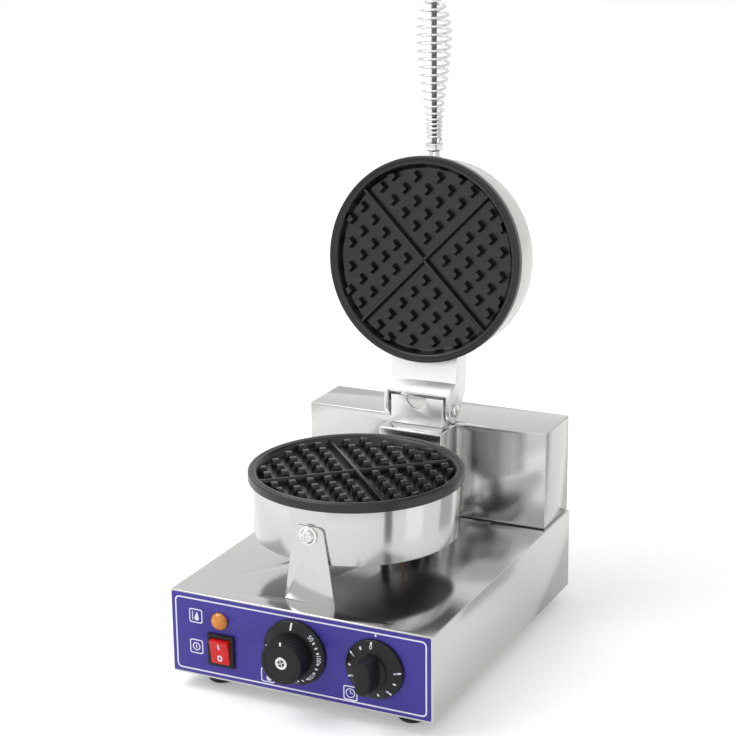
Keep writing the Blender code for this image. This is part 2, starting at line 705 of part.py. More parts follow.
def terminal_block():
    half = (26 * MM, 11 * MM)
    height = 11 * MM
    tower_half = (3.4 * MM, 5 * MM)
    tower_rise = 8 * MM
    towers = 5
    pitch = 10 * MM
    from_back = 70 * MM
    share_right = 0.44
    at = (share_right * BASE_WIDTH / 2, BASE_DEPTH - from_back, BOTTOM_LOW + SHEET + SEAT)
    bm = block((-half[0], -half[1], 0), (half[0], half[1], height))
    block_node = node("terminal_block", bm, "ceramic", FRAME, at)
    bm = bmesh.new()
    for i in range(towers):
        x = (i - (towers - 1) / 2) * pitch
        block((x - tower_half[0], -tower_half[1], height / 2),
              (x + tower_half[0], tower_half[1], height + tower_rise), bm)
    join(block_node, cutter("terminal_towers", bm, FRAME, at))


def cord_gland():
    """A bare gland: nut outside, thread through the wall, lock nut inside."""
    bore = 4.5 * MM
    nut = 11 * MM
    nut_rise = 5 * MM
    cap = 9 * MM
    cap_slope = 3 * MM
    cap_end = 6.75 * MM
    lock_rise = 4 * MM
    tail_rise = 2 * MM
    tail = SHEET + SEAT + lock_rise + tail_rise
    lift = SEAT
    lock_top = -SHEET - SEAT
    lock_low = lock_top - lock_rise
    at = (GLAND_AT[0], BASE_DEPTH, GLAND_AT[1])
    profile = [(cap_end, GLAND_REACH), (cap, GLAND_REACH - cap_slope), (cap, nut_rise), (nut, nut_rise),
               (nut, lift), (GLAND_THREAD, lift), (GLAND_THREAD, lock_top), (nut, lock_top),
               (nut, lock_low), (GLAND_THREAD, lock_low), (GLAND_THREAD, -tail), (bore, -tail),
               (bore, GLAND_REACH)]
    turned("cord_gland", profile, "black_plastic", FRAME, at, FACING_BACK, 16, closed=True)


# Rear box

def rear_box():
    half = REAR_WIDTH / 2
    low = BASE_HEIGHT + SEAT
    bm = open_box((-half, REAR_FRONT, low), (half, BASE_DEPTH, REAR_TOP), ["left", "right", "bottom"])
    housing = thicken(node("rear_housing", bm, "brushed_steel", FRAME), SHEET)
    post_window = block((-POST_HALF + LIP, REAR_FRONT - OVERRUN, low + LIP),
                        (POST_HALF - LIP, REAR_FRONT + SHEET + OVERRUN, POST_TOP - LIP))
    cut(housing, cutter("post_window", post_window, FRAME))
    flange = 10 * MM
    inset = SHEET + SEAT
    for side, sign in (("left", -1), ("right", 1)):
        inner, outer = sign * (half - flange), sign * half
        bm = open_box((min(inner, outer), REAR_FRONT + inset, low),
                      (max(inner, outer), BASE_DEPTH - inset, REAR_TOP - inset),
                      ["right" if sign < 0 else "left"])
        thicken(node("rear_end_" + side, bm, "brushed_steel", FRAME), SHEET)


# Lower head supports

def support_leg(name, front):
    """A tapered leg through a slot in the base, with a flange under the top sheet and a screw."""
    top_half = 14.5 * MM
    top_round = 5 * MM
    leg_top = BASE_HEIGHT + LEG_RISE
    flange = 14 * MM
    screw_z = BASE_HEIGHT + LEG_SCREW_RISE
    screw_radius = 3 * MM
    washer_radius = 9 * MM
    washer_rise = 1.3 * MM
    head_radius = 6.5 * MM
    head_rise = 4 * MM
    grip = 9 * MM
    nut_radius = 5.5 * MM
    slot = 1.4 * MM
    face = leg_face(front)
    inward = 1 if front else -1
    under = BASE_HEIGHT - SHEET - SEAT - LEG_SHEET
    taper = arc((top_half - top_round, leg_top - top_round), top_round, 0, 90, 4)
    outline = [(LEG_HALF, under), (LEG_HALF, BASE_HEIGHT)] + taper
    outline += [(-x, z) for x, z in reversed(outline)]
    leg = prism(outline, 0, LEG_SHEET)
    leg = node(name, leg, "brushed_steel", FRAME, (0, face + LEG_SHEET if front else face, 0), FACING_FRONT)
    low_y, high_y = sorted((face, face + inward * (LEG_SHEET + flange)))
    foot = block((-LEG_HALF, low_y, under), (LEG_HALF, high_y, under + LEG_SHEET))
    join(leg, cutter(name + "_flange", foot, FRAME))
    turn = FACING_FRONT if front else FACING_BACK
    hole = drum(screw_radius + SEAT, -LEG_SHEET - OVERRUN, OVERRUN, 16)
    cut(leg, cutter(name + "_hole", hole, FRAME, (0, face, screw_z), turn))
    washer = SEAT + washer_rise
    end = -(LEG_SHEET + SEAT + SHEET + grip)
    curve_room = 0.5 * MM     # the drum's wall curves in beside the flat nut
    nut_face = -(LEG_SHEET + SEAT + SHEET + SEAT + curve_room)
    nut_depth = 4 * MM
    upright = 0.35            # share of the head's rise below its dome
    round_head = [(head_radius * math.sin(a), washer + head_rise * (upright + (1 - upright) * math.cos(a)))
                  for a in (math.pi / 2 * i / 3 for i in range(4))]
    nut_back = nut_face - nut_depth
    profile = round_head + [(head_radius, washer), (washer_radius, washer), (washer_radius, SEAT),
                            (screw_radius, SEAT), (screw_radius, nut_face), (nut_radius, nut_face),
                            (nut_radius, nut_back), (screw_radius, nut_back), (screw_radius, end), (0, end)]
    screw = turned(name + "_screw", profile, "bright_steel", FRAME, (0, face, screw_z), turn, 12)
    cross = bmesh.new()
    top = washer + head_rise
    block((-head_radius / 2, -slot / 2, top - slot), (head_radius / 2, slot / 2, top + OVERRUN), cross)
    cut(screw, cutter(name + "_slot_a", cross, FRAME, screw.location, turn))
    other = block((-slot / 2, -head_radius / 2, top - slot), (slot / 2, head_radius / 2, top + OVERRUN))
    cut(screw, cutter(name + "_slot_b", other, FRAME, screw.location, turn))
    return screw_z, screw_radius


# Cooking heads, built face up with the rim's top at Z = 0

CAVITY = 8 * MM                  # rim top to the floor between the studs
STUD_PITCH = 16 * MM
STUD_FIRST = 13.8 * MM           # from a rib arm's middle to the first row of studs
STUD_BASE = 8.8 * MM
STUD_TOP = 5.8 * MM
STUD_DROP = 0.8 * MM             # stud tops below the rim's top
RIB_BASE = 5.2 * MM
RIB_TOP = 2.4 * MM
RIB_DROP = 2.2 * MM
RIM_WIDTH = 7.3 * MM
RIM_INNER = RIM_RADIUS - RIM_WIDTH
STUD_ROWS = int(RIM_INNER / STUD_PITCH)
WALL_DRAFT = 3 * MM
PLATE_DEEP = 18 * MM             # rim top to the plate's underside
SKIRT_CLEAR = 1.2 * MM
SKIRT_RADIUS = SHELL_RADIUS - SHEET - SKIRT_CLEAR
ROOT = 0.5 * MM                  # how far studs and ribs reach into the floor
LOWER_SPIN = math.radians(-2.6)  # the cast patterns sit slightly turned in their heads
UPPER_SPIN = math.radians(-1.2)


def frustum(bm, at, base, top, low, high):
    """A square stud whose sides lie along the rib arms, which run at 45 degrees."""
    bmesh.ops.create_cone(bm, cap_ends=True, segments=4, radius1=base / math.sqrt(2),
                          radius2=top / math.sqrt(2), depth=high - low,
                          matrix=Matrix.Translation((*at, (low + high) / 2)))


def stud_places():
    """Centres of the studs: rows between two rib arms, repeated in the four quarters."""
    places = []
    for quarter in range(4):
        turn = Matrix.Rotation(math.radians(45 + 90 * quarter), 2)
        for i in range(STUD_ROWS):
            for j in range(STUD_ROWS):
                across = Vector((STUD_FIRST + i * STUD_PITCH, STUD_FIRST + j * STUD_PITCH))
                inner_corner = across - Vector((STUD_BASE, STUD_BASE)) / 2
                if i + j <= STUD_ROWS and inner_corner.length < RIM_INNER - WALL_DRAFT - STUD_BASE / 2:
                    places.append(turn @ across)
    return places


def waffle_plate(name, parent, at, turn, spin):
    """Cast plate: band, rim, floor, rib arms and studs in one piece, the pattern turned by spin."""
    floor = -CAVITY
    lip_round = 1.2 * MM
    under_rim = -RIM_BAND
    profile = [(0, floor), (RIM_INNER - WALL_DRAFT, floor), (RIM_INNER - lip_round / 2, -lip_round),
               (RIM_INNER + lip_round, 0), (RIM_RADIUS - lip_round, 0), (RIM_RADIUS, -lip_round),
               (RIM_RADIUS, under_rim), (SKIRT_RADIUS, under_rim), (SKIRT_RADIUS, -PLATE_DEEP),
               (0, -PLATE_DEEP)]
    plate = turned(name, profile, "nonstick_iron", parent, at, turn, SIDES)
    turn = (turn[0], turn[1], spin)
    studs = bmesh.new()
    for place in stud_places():
        frustum(studs, place, STUD_BASE, STUD_TOP, floor - ROOT, -STUD_DROP)
    studs = cutter(name + "_studs", studs, parent, at, turn)
    limit = drum(RIM_INNER - WALL_DRAFT - ROOT, floor - OVERRUN, OVERRUN, SIDES)
    combine(studs, cutter(name + "_stud_limit", limit, parent, at, turn), "INTERSECT")
    reach = RIM_INNER
    half_base, half_top = RIB_BASE / 2, RIB_TOP / 2
    section = [(-half_base, floor - ROOT), (half_base, floor - ROOT),
               (half_top, -RIB_DROP), (-half_top, -RIB_DROP)]
    ribs = prism(section, -reach, reach)
    bmesh.ops.rotate(ribs, verts=ribs.verts, matrix=Matrix.Rotation(math.radians(90), 3, "X"))
    across = ribs.copy()
    for arm, angle in ((ribs, 45), (across, -45)):
        bmesh.ops.rotate(arm, verts=arm.verts, matrix=Matrix.Rotation(math.radians(angle), 3, "Z"))
    join(plate, cutter(name + "_rib_a", ribs, parent, at, turn))
    join(plate, cutter(name + "_rib_b", across, parent, at, turn))
    join(plate, studs)
    tidy = plate.modifiers.new("tidy", "DECIMATE")
    tidy.decimate_type = "DISSOLVE"
    tidy.angle_limit = FLAT_ANGLE
    return plate


ELEMENT_RADIUS = 4 * MM
ELEMENT_INSET = 33.6 * MM        # heater's ring inside the drum's side
ELEMENT_RING = SHELL_RADIUS - ELEMENT_INSET
PAD_INSET = 15.6 * MM
PAD_RADIUS = SHELL_RADIUS - PAD_INSET


def element(name, parent, at, turn):
    """A tubular heater bent to an open ring, its cold ends turned away from the plate."""
    gap_angle = 24
    steps = 24
    cold_end = 9 * MM
    level = -PLATE_DEEP - SEAT - ELEMENT_RADIUS
    ring = arc((0, 0), ELEMENT_RING, 90 + gap_angle / 2, 450 - gap_angle / 2, steps)
    points = [(x, y, level) for x, y in ring]
    bend = ELEMENT_RADIUS * 1.6
    low = level - bend
    start = (points[0][0] + bend, points[0][1])
    end = (points[-1][0] - bend, points[-1][1])
    tip = low - cold_end
    points = [(*start, tip), (*start, low)] + points[1:-1] + [(*end, low), (*end, tip)]
    wire(name, points, ELEMENT_RADIUS, "plain_steel", parent, at, turn, roundness=1)
    return level - ELEMENT_RADIUS


def insulation(name, parent, at, turn, top, bottom):
    """A fibre pad behind the heater, notched for the heater's cold ends and the leads."""
    edge = 2 * MM
    notch_half = 26 * MM
    notch_room = 8 * MM
    notch_inner = LEAD_REACH - notch_room
    bm = drum(PAD_RADIUS, bottom, top, 40)
    soften(bm, edge, segments=1)
    pad = node(name, bm, "glass_fibre", parent, at, turn)
    notch = block((-notch_half, notch_inner, bottom - OVERRUN),
                  (notch_half, PAD_RADIUS + OVERRUN, top + OVERRUN))
    cut(pad, cutter(name + "_notch", notch, parent, at, turn))


def lower_head(screw_z, screw_radius):
    at = (0, HEAD_Y, FACE_Z)
    plain = (0, 0, 0)
    waffle_plate("lower_plate", FRAME, at, plain, LOWER_SPIN)
    top = -RIM_BAND - SEAT
    bottom = -LOWER_HEAD_HEIGHT
    inner = SHELL_RADIUS - SHEET
    hem = 2.5 * MM
    shell = [(SHELL_RADIUS, top), (SHELL_RADIUS, bottom), (inner - hem, bottom),
             (inner - hem, bottom + SHEET), (inner, bottom + SHEET), (inner, top)]
    shell = turned("lower_shell", shell, "brushed_steel", FRAME, at, plain, SIDES, closed=True)
    hole = drum(screw_radius + SEAT, -SHELL_RADIUS - OVERRUN, SHELL_RADIUS + OVERRUN, 16)
    cut(shell, cutter("lower_shell_holes", hole, FRAME, (0, HEAD_Y, screw_z), FACING_FRONT))
    heater_low = element("lower_element", FRAME, at, plain)
    pan_low = bottom + SHEET + SEAT
    pan_rim = 5 * MM
    pan_radius = inner - SEAT
    pan_floor = pan_low + SHEET
    pan_inner = pan_radius - SHEET
    pan = [(0, pan_floor), (pan_inner, pan_floor), (pan_inner, pan_low + pan_rim),
           (pan_radius, pan_low + pan_rim), (pan_radius, pan_low), (0, pan_low)]
    pan = turned("lower_pan", pan, "plain_steel", FRAME, at, plain, 36)
    low, high = bottom - OVERRUN, pan_floor + OVERRUN
    lead = drum(LEAD_BORE, low, high, 20, centre=(0, LEAD_REACH))
    drum(PROBE_RADIUS + SEAT, low, high, 10, centre=(PROBE_X, LEAD_REACH), bm=lead)
    cut(pan, cutter("pan_lead_hole", lead, FRAME, at))
    insulation("lower_insulation", FRAME, at, plain, heater_low - SEAT, pan_floor + SEAT)


def lower_leads():
    """A grommet in the base's top, and the sleeve of the lower heater's leads through it."""
    collar = 9.5 * MM
    rise = 2.5 * MM
    bore = SLEEVE_RADIUS + SEAT
    z = BASE_HEIGHT
    over, under = z + SEAT, z - SHEET - SEAT
    profile = [(collar, over + rise), (collar, over), (GROMMET_NECK, over), (GROMMET_NECK, under),
               (collar, under), (collar, under - rise), (bore, under - rise), (bore, over + rise)]
    turned("lead_grommet", profile, "rubber", FRAME, (0, FRONT_LEAD_Y, 0), sides=20, closed=True)
    below = 24 * MM
    into_head = 12 * MM
    inside = FACE_Z - LOWER_HEAD_HEIGHT + into_head
    wire("lower_lead_sleeve", [(0, FRONT_LEAD_Y, z - below), (0, FRONT_LEAD_Y, inside)], SLEEVE_RADIUS,
         "glass_fibre", FRAME)


# Hinge

def hinge_post():
    low = BASE_HEIGHT + SEAT
    bm = open_box((-POST_HALF, POST_FRONT, low), (POST_HALF, REAR_FRONT - SEAT, POST_TOP),
                  ["back", "bottom"], POST_FOLD)
    post = thicken(node("hinge_post", bm, "brushed_steel", FRAME), LEG_SHEET)
    hole = drum(LEAD_BORE, POST_TOP - LEG_SHEET - OVERRUN, POST_TOP + OVERRUN, 20, centre=(0, POST_LEAD_Y))
    cut(post, cutter("post_lead_hole", hole, FRAME))


BRACKET_FRONT = -11.5 * MM       # all measured from the hinge axis
BRACKET_BACK = 7.3 * MM
BRACKET_TOP = 12.5 * MM
BRACKET_LOW = POST_TOP + SEAT - HINGE_Z
NOTCH_HALF = 10 * MM
NOTCH_DEEP = 11.5 * MM
LEAD_SETBACK = 1 * MM
POST_LEAD_Y = HINGE_Y - LEAD_SETBACK


def hinge_bracket():
    """Folded U: the tongue faces the front with a round notch, the cheeks carry the pivots."""
    bend = 2.5 * MM
    path = [(-BRACKET_HALF, BRACKET_BACK, BRACKET_LOW), (-BRACKET_HALF, BRACKET_FRONT, BRACKET_LOW),
            (BRACKET_HALF, BRACKET_FRONT, BRACKET_LOW), (BRACKET_HALF, BRACKET_BACK, BRACKET_LOW)]
    bm = folded(path, (0, 0, BRACKET_TOP - BRACKET_LOW), (0, -1, 0))
    soften(bm, bend)
    at = (0, HINGE_Y, HINGE_Z)
    bracket = thicken(node("hinge_bracket", bm, "brushed_steel", FRAME, at), BRACKET_SHEET)
    inner = BRACKET_HALF - BRACKET_SHEET / 2
    floor = block((-inner, BRACKET_FRONT + BRACKET_SHEET / 2, BRACKET_LOW),
                  (inner, BRACKET_BACK, BRACKET_LOW + BRACKET_SHEET))
    join(bracket, cutter("bracket_floor", floor, FRAME, at))
    notch_bottom = BRACKET_TOP - NOTCH_DEEP + NOTCH_HALF
    outline = arc((0, notch_bottom), NOTCH_HALF, 180, 360, 9) + [(NOTCH_HALF, BRACKET_TOP + OVERRUN),
                                                                (-NOTCH_HALF, BRACKET_TOP + OVERRUN)]
    notch = prism(outline, -BRACKET_FRONT - BRACKET_SHEET - OVERRUN, -BRACKET_FRONT + OVERRUN)
    cut(bracket, cutter("bracket_notch", notch, FRAME, at, FACING_FRONT))
    pins = drum(PIN_RADIUS + RUN, -BRACKET_HALF - OVERRUN, BRACKET_HALF + OVERRUN, 24)
    cut(bracket, cutter("bracket_pin_holes", pins, FRAME, at, FACING_RIGHT))
    lead = drum(LEAD_BORE, BRACKET_LOW - OVERRUN, BRACKET_LOW + BRACKET_SHEET + OVERRUN, 20,
                centre=(0, POST_LEAD_Y - HINGE_Y))
    cut(bracket, cutter("bracket_lead_hole", lead, FRAME, at))


EAR_RADIUS = 12 * MM
LIP_REACH = 16 * MM
LIP_DROP = -13.3 * MM
WEB_REACH = 25.3 * MM
WEB_RISE = 0.7 * MM
EAR_TOP = 23.5 * MM
EAR_TOP_REACH = 10 * MM
ARM_SHEET = 3 * MM
ARM_END = 60 * MM                # trimmed by the upper drum
COVER_DROP = 1.2 * MM
LID_CENTRE_Y = HEAD_Y - HINGE_Y  # all in the closed lid's frame
LID_FACE_Z = FACE_Z + CLOSED_GAP - HINGE_Z


def drum_trim(name):
    """Takes the round of the upper drum, with its seating gap, out of what is welded to it."""
    low = LID_FACE_Z - OVERRUN
    high = LID_FACE_Z + UPPER_HEAD_HEIGHT + OVERRUN
    return cutter(name, drum(SHELL_RADIUS + SEAT, low, high, SIDES), LID, (0, LID_CENTRE_Y, 0))


def hinge_arm():
    """Channel from the pivots to the upper drum: two ears, a lower web and an apron over the tongue."""
    corner = 6 * MM
    low_arc = arc((0, 0), EAR_RADIUS, 150, 275, 9)
    # The outline is drawn with reach to the left, as the closed lid points to the front
    outline = [(LIP_REACH, LIP_DROP), (WEB_REACH, WEB_RISE), (ARM_END, WEB_RISE), (ARM_END, EAR_TOP)]
    outline += arc((EAR_TOP_REACH + corner, EAR_TOP - corner), corner, 90, 140, 3) + low_arc
    ear = [(-reach, rise) for reach, rise in outline]
    ears = []
    for sign in (-1, 1):
        inner, outer = sorted((sign * (EAR_OUTER - EAR_SHEET), sign * EAR_OUTER))
        bm = prism(ear, inner, outer)
        # Outline axes go to Y and Z, and the raised axis to X
        bmesh.ops.rotate(bm, verts=bm.verts, matrix=Matrix(((0, 0, 1), (1, 0, 0), (0, 1, 0))))
        ears.append(bm)
    arm = node("hinge_arm", ears[0], "brushed_steel", LID)
    join(arm, cutter("arm_other_ear", ears[1], LID))
    span = EAR_OUTER - EAR_SHEET / 2
    path = [(-span, -LIP_REACH, LIP_DROP), (-span, -WEB_REACH, WEB_RISE), (-span, -ARM_END, WEB_RISE)]
    web = folded(path, (2 * span, 0, 0), (0, -1, -1))
    web = thicken(cutter("arm_web", web, LID), ARM_SHEET)
    join(arm, web)
    pins = drum(PIN_RADIUS + RUN, -EAR_OUTER - OVERRUN, EAR_OUTER + OVERRUN, 24)
    cut(arm, cutter("arm_pin_holes", pins, LID, turn=FACING_RIGHT))
    cut(arm, drum_trim("arm_trim"))
    half = EAR_OUTER - EAR_SHEET - SEAT
    high = EAR_TOP - COVER_DROP
    cover = block((-half, -ARM_END, high - LEG_SHEET), (half, -EAR_TOP_REACH + corner, high))
    cover = node("hinge_arm_cover", cover, "brushed_steel", LID)
    cut(cover, drum_trim("cover_trim"))


def pivots():
    """On each side a bolt through ear and cheek, a washer between them and a nut inside."""
    head_radius = 6 * MM
    head_rise = 3.8 * MM
    nut_radius = 6.5 * MM
    nut_width = 4.5 * MM
    tail = 2 * MM
    washer_radius = 8 * MM
    ear_inner = EAR_OUTER - EAR_SHEET
    cheek_inner = BRACKET_HALF - BRACKET_SHEET
    end = cheek_inner - SEAT - nut_width - tail
    under_head = EAR_OUTER + SEAT
    upright = 0.4             # share of the head's rise below its dome
    dome = [(head_radius * math.sin(a), under_head + head_rise * (upright + (1 - upright) * math.cos(a)))
            for a in (math.pi / 2 * i / 3 for i in range(4))]
    bolt = dome + [(head_radius, under_head), (PIN_RADIUS, under_head), (PIN_RADIUS, end), (0, end)]
    bore = PIN_RADIUS + RUN
    nut_high = cheek_inner - SEAT
    washer_low, washer_high = BRACKET_HALF + SEAT, ear_inner - SEAT
    for side, turn in (("left", (0, math.radians(-90), 0)), ("right", (0, math.radians(90), 0))):
        at = (0, HINGE_Y, HINGE_Z)
        turned("pivot_bolt_" + side, bolt, "bright_steel", FRAME, at, turn, 16)
        nut = drum(nut_radius, nut_high - nut_width, nut_high, 6)
        nut = node("pivot_nut_" + side, nut, "plain_steel", FRAME, at, turn)
        hole = drum(bore, nut_high - nut_width - OVERRUN, nut_high + OVERRUN, 20)
        cut(nut, cutter("nut_bore_" + side, hole, FRAME, at, turn))
        washer = [(washer_radius, washer_high), (washer_radius, washer_low),
                  (bore, washer_low), (bore, washer_high)]
        turned("pivot_washer_" + side, washer, "plain_steel", FRAME, at, turn, 16, closed=True)


def hinge_leads():
    """The upper heater's lead sleeve, up the post and then along the arm; it flexes at the axis."""
    into_base = 20 * MM
    flex_room = 1 * MM
    into_head = 14 * MM
    low = BASE_HEIGHT - into_base
    rest = SLEEVE_RADIUS + flex_room
    wire("post_lead_sleeve", [(0, POST_LEAD_Y, low), (0, POST_LEAD_Y, HINGE_Z - rest)], SLEEVE_RADIUS,
         "glass_fibre", FRAME)
    rise = WEB_RISE + ARM_SHEET + SEAT + SLEEVE_RADIUS
    drum_side = LID_CENTRE_Y + SHELL_RADIUS
    wire("arm_lead_sleeve", [(0, -WEB_REACH, rise), (0, drum_side - into_head, rise)], SLEEVE_RADIUS,
         "glass_fibre", LID)
    return rise


# Upper head and handle

def upper_head(lead_rise):
    at = (0, LID_CENTRE_Y, LID_FACE_Z)
    over = (0, math.pi, 0)
    waffle_plate("upper_plate", LID, at, over, UPPER_SPIN)
    inner = SHELL_RADIUS - SHEET
    low = -RIM_BAND - SEAT
    back = -UPPER_HEAD_HEIGHT
    corner = 4 * MM
    inner_corner = corner - SHEET
    outside = [(SHELL_RADIUS, low)]
    outside += arc((SHELL_RADIUS - corner, back + corner), corner, 0, -90, 4) + [(0, back)]
    floor = back + SHEET
    inside = [(0, floor)] + arc((inner - inner_corner, floor + inner_corner), inner_corner, -90, 0, 2)
    inside += [(inner, low)]
    shell = turned("upper_shell", inside + outside, "brushed_steel", LID, at, over, SIDES)
    hole = drum(SLEEVE_RADIUS + SEAT, -OVERRUN, 2 * OVERRUN + SHEET, 20)
    hole_at = (0, LID_CENTRE_Y + SHELL_RADIUS, lead_rise)
    cut(shell, cutter("upper_lead_hole", hole, LID, hole_at, FACING_FRONT))
    heater_low = element("upper_element", LID, at, over)
    insulation("upper_insulation", LID, at, over, heater_low - SEAT, floor + SEAT)


BOSS_HEIGHT = 8.5 * MM           # from the drum to the nut
NUT_HEIGHT = 7.5 * MM
WIRE_RADIUS = 1.3 * MM
COIL_LENGTH = 135 * MM
COIL_FOOT_RADIUS = 6.4 * MM
COIL_BELLY_RADIUS = 15.4 * MM
COIL_TOP_RADIUS = 5.6 * MM
BELLY_SHARE = 0.77               # where along the coil its belly is
CLOSE_PITCH = 3.95 * MM
OPEN_PITCH = 7.3 * MM
CLOSE_TURNS = 4
EASING_TURNS = 3
CURL_POINTS = 8


def coil_radius(share):
    """Smooth swell from the foot to the belly, then a quarter wave down to the top."""
    if share < BELLY_SHARE:
        swell = (1 - math.cos(math.pi * share / BELLY_SHARE)) / 2
        return COIL_FOOT_RADIUS + (COIL_BELLY_RADIUS - COIL_FOOT_RADIUS) * swell
    fall = math.cos(math.pi / 2 * (share - BELLY_SHARE) / (1 - BELLY_SHARE))
    return COIL_TOP_RADIUS + (COIL_BELLY_RADIUS - COIL_TOP_RADIUS) * fall


def coil_points():
    """The helix of the grip, with a straight end of one wire diameter at both ends."""
    straight = 2 * WIRE_RADIUS
    points = []
    height = 0.0
    step = 0
    length = COIL_LENGTH - 2 * straight
    while height < length:
        turns = step / CURL_POINTS
        radius = coil_radius(height / length)
        angle = math.tau * turns
        points.append((radius * math.cos(angle), radius * math.sin(angle), straight + height))
        eased = min(max((turns - CLOSE_TURNS) / EASING_TURNS, 0), 1)
        height += (CLOSE_PITCH + (OPEN_PITCH - CLOSE_PITCH) * eased) / CURL_POINTS
        step += 1
    first, last = points[0], points[-1]
    return [(first[0], first[1], 0)] + points + [(last[0], last[1], COIL_LENGTH)]


def least_gap(points):
    """Least gap of the coil to itself, between points that are at least half a turn apart."""
    apart, ahead = CURL_POINTS // 2, 3 * CURL_POINTS
    places = [Vector(point) for point in points]
    gaps = [(a - b).length for i, a in enumerate(places) for b in places[i + apart:i + ahead]]
    return min(gaps) - 2 * WIRE_RADIUS


def handle():
    """Boss on the upper drum, hex nut, rod, wire coil grip and end nut, all on one axis."""
    mount = empty("handle_axis", (0, LID_CENTRE_Y - SHELL_RADIUS, LID_FACE_Z + HANDLE_BACK),
                  (math.radians(90) + HANDLE_TILT, 0, 0), LID)
    boss_radius = 5 * MM
    collar = 7.3 * MM
    collar_rise = 2.5 * MM
    collar_slope = 1 * MM
    sunk = 3 * MM
    rod_socket = 6 * MM
    low = BOSS_HEIGHT - rod_socket
    bore_radius = ROD_RADIUS + SEAT
    profile = [(0, low - SEAT), (bore_radius, low - SEAT), (bore_radius, BOSS_HEIGHT),
               (boss_radius, BOSS_HEIGHT), (boss_radius, collar_rise + collar_slope),
               (collar, collar_rise), (collar, -sunk), (0, -sunk)]
    boss = turned("handle_boss", profile, "bright_steel", mount, sides=16)
    cut(boss, drum_trim("boss_trim"))
    nut_low = BOSS_HEIGHT + SEAT
    nut_top = nut_low + NUT_HEIGHT
    nut_radius = 8.6 * MM
    chamfer = 0.8 * MM
    bm = drum(nut_radius, nut_low, nut_top, 6)
    soften(bm, chamfer, lambda e: abs(e.verts[0].co.z - e.verts[1].co.z) < MERGE, 1)
    nut = node("handle_nut", bm, "bright_steel", mount)
    bore = drum(bore_radius, nut_low - OVERRUN, nut_top + OVERRUN, 16)
    cut(nut, cutter("handle_nut_bore", bore, mount))
    coil_low = nut_top + SEAT
    coil_top = coil_low + COIL_LENGTH
    points = coil_points()
    print("Least gap of the coil to itself: %.2f mm" % (least_gap(points) / MM))
    wire("handle_spring", points, WIRE_RADIUS, "bright_steel", mount, (0, 0, coil_low), roundness=1)
    cap_radius = COIL_TOP_RADIUS + 2 * WIRE_RADIUS
    cap_low = coil_top + SEAT
    skirt = 3 * MM
    dome_rise = 5 * MM
    cap_bore = 4 * MM
    dome = [(cap_radius * math.sin(a), cap_low + skirt + dome_rise * math.cos(a))
            for a in (math.pi / 2 * i / 4 for i in range(5))]
    profile = dome + [(cap_radius, cap_low), (bore_radius, cap_low), (bore_radius, cap_low + cap_bore),
                      (0, cap_low + cap_bore)]
    turned("handle_end_nut", profile, "bright_steel", mount, sides=16)
    rod = drum(ROD_RADIUS, low, cap_low + cap_bore - SEAT, 12)
    node("handle_rod", rod, "plain_steel", mount)


def thermostat_probe(half, depth):
    """Capillary tube from the thermostat's back, up through the base's top to the plate's underside."""
    x, z = THERMOSTAT_AT
    back = -PANEL_FRONT - BODY_FACE + depth + SEAT
    bend = half[1]
    top = FACE_Z - PLATE_DEEP - SEAT
    points = [(x, back, z), (x, back + bend, z), (PROBE_X, back + 2 * bend, z),
              (PROBE_X, FRONT_LEAD_Y - bend, z), (PROBE_X, FRONT_LEAD_Y, z + bend),
              (PROBE_X, FRONT_LEAD_Y, top)]
    wire("thermostat_capillary", points, PROBE_RADIUS, "copper", FRAME, roundness=1)


def build():
    base_shell()
    bottom_plate()
    feet()
    front_panel()
    thermostat_knob()
    timer_knob()
    thermostat_probe(*control_bodies())
    lamp()
    rocker()
    terminal_block()
    cord_gland()
    rear_box()
    screw_z, screw_radius = support_leg("front_support", True)
    support_leg("rear_support", False)
    lower_head(screw_z, screw_radius)
    lower_leads()
    hinge_post()
    hinge_bracket()
    hinge_arm()
    pivots()
    lead_rise = hinge_leads()
    upper_head(lead_rise)
    handle()


build()
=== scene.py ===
"""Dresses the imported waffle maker: cast plates, brushed sheet, printed panel, dials and wire grip."""
import json
import math

import bmesh
import bpy
from bpy.props import FloatProperty, FloatVectorProperty, IntProperty, PointerProperty
from bpy.types import Operator, Panel, PropertyGroup
from mathutils import Matrix, Vector


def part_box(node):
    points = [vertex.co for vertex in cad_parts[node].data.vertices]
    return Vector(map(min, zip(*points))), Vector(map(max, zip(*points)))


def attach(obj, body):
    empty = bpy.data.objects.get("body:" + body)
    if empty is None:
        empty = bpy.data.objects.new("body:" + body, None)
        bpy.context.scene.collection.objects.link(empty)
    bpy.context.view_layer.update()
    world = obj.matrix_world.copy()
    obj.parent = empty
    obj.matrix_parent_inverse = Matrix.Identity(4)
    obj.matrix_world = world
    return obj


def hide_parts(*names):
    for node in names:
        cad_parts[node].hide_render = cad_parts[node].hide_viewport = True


bl_info = {
    "name": "Waffle Maker Dressing",
    "version": (1, 0, 0),
    "blender": (4, 5, 0),
    "location": "3D View > Sidebar > Waffle Maker",
    "description": "Builds the visible pieces and finishes of a round waffle maker around its frame",
    "category": "Object",
}

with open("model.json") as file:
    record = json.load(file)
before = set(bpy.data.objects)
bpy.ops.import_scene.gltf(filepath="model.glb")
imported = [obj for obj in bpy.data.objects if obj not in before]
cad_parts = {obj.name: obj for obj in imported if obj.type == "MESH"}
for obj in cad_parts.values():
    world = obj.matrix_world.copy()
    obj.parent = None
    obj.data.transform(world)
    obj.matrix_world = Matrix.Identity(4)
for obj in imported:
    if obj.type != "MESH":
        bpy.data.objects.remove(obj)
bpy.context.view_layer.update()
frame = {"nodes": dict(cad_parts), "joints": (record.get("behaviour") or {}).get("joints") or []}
MM = 0.001
NODES = frame["nodes"]


# Settings

def length(name, default, text):
    return FloatProperty(name=name, default=default, min=0.0, unit="LENGTH", precision=5, description=text)


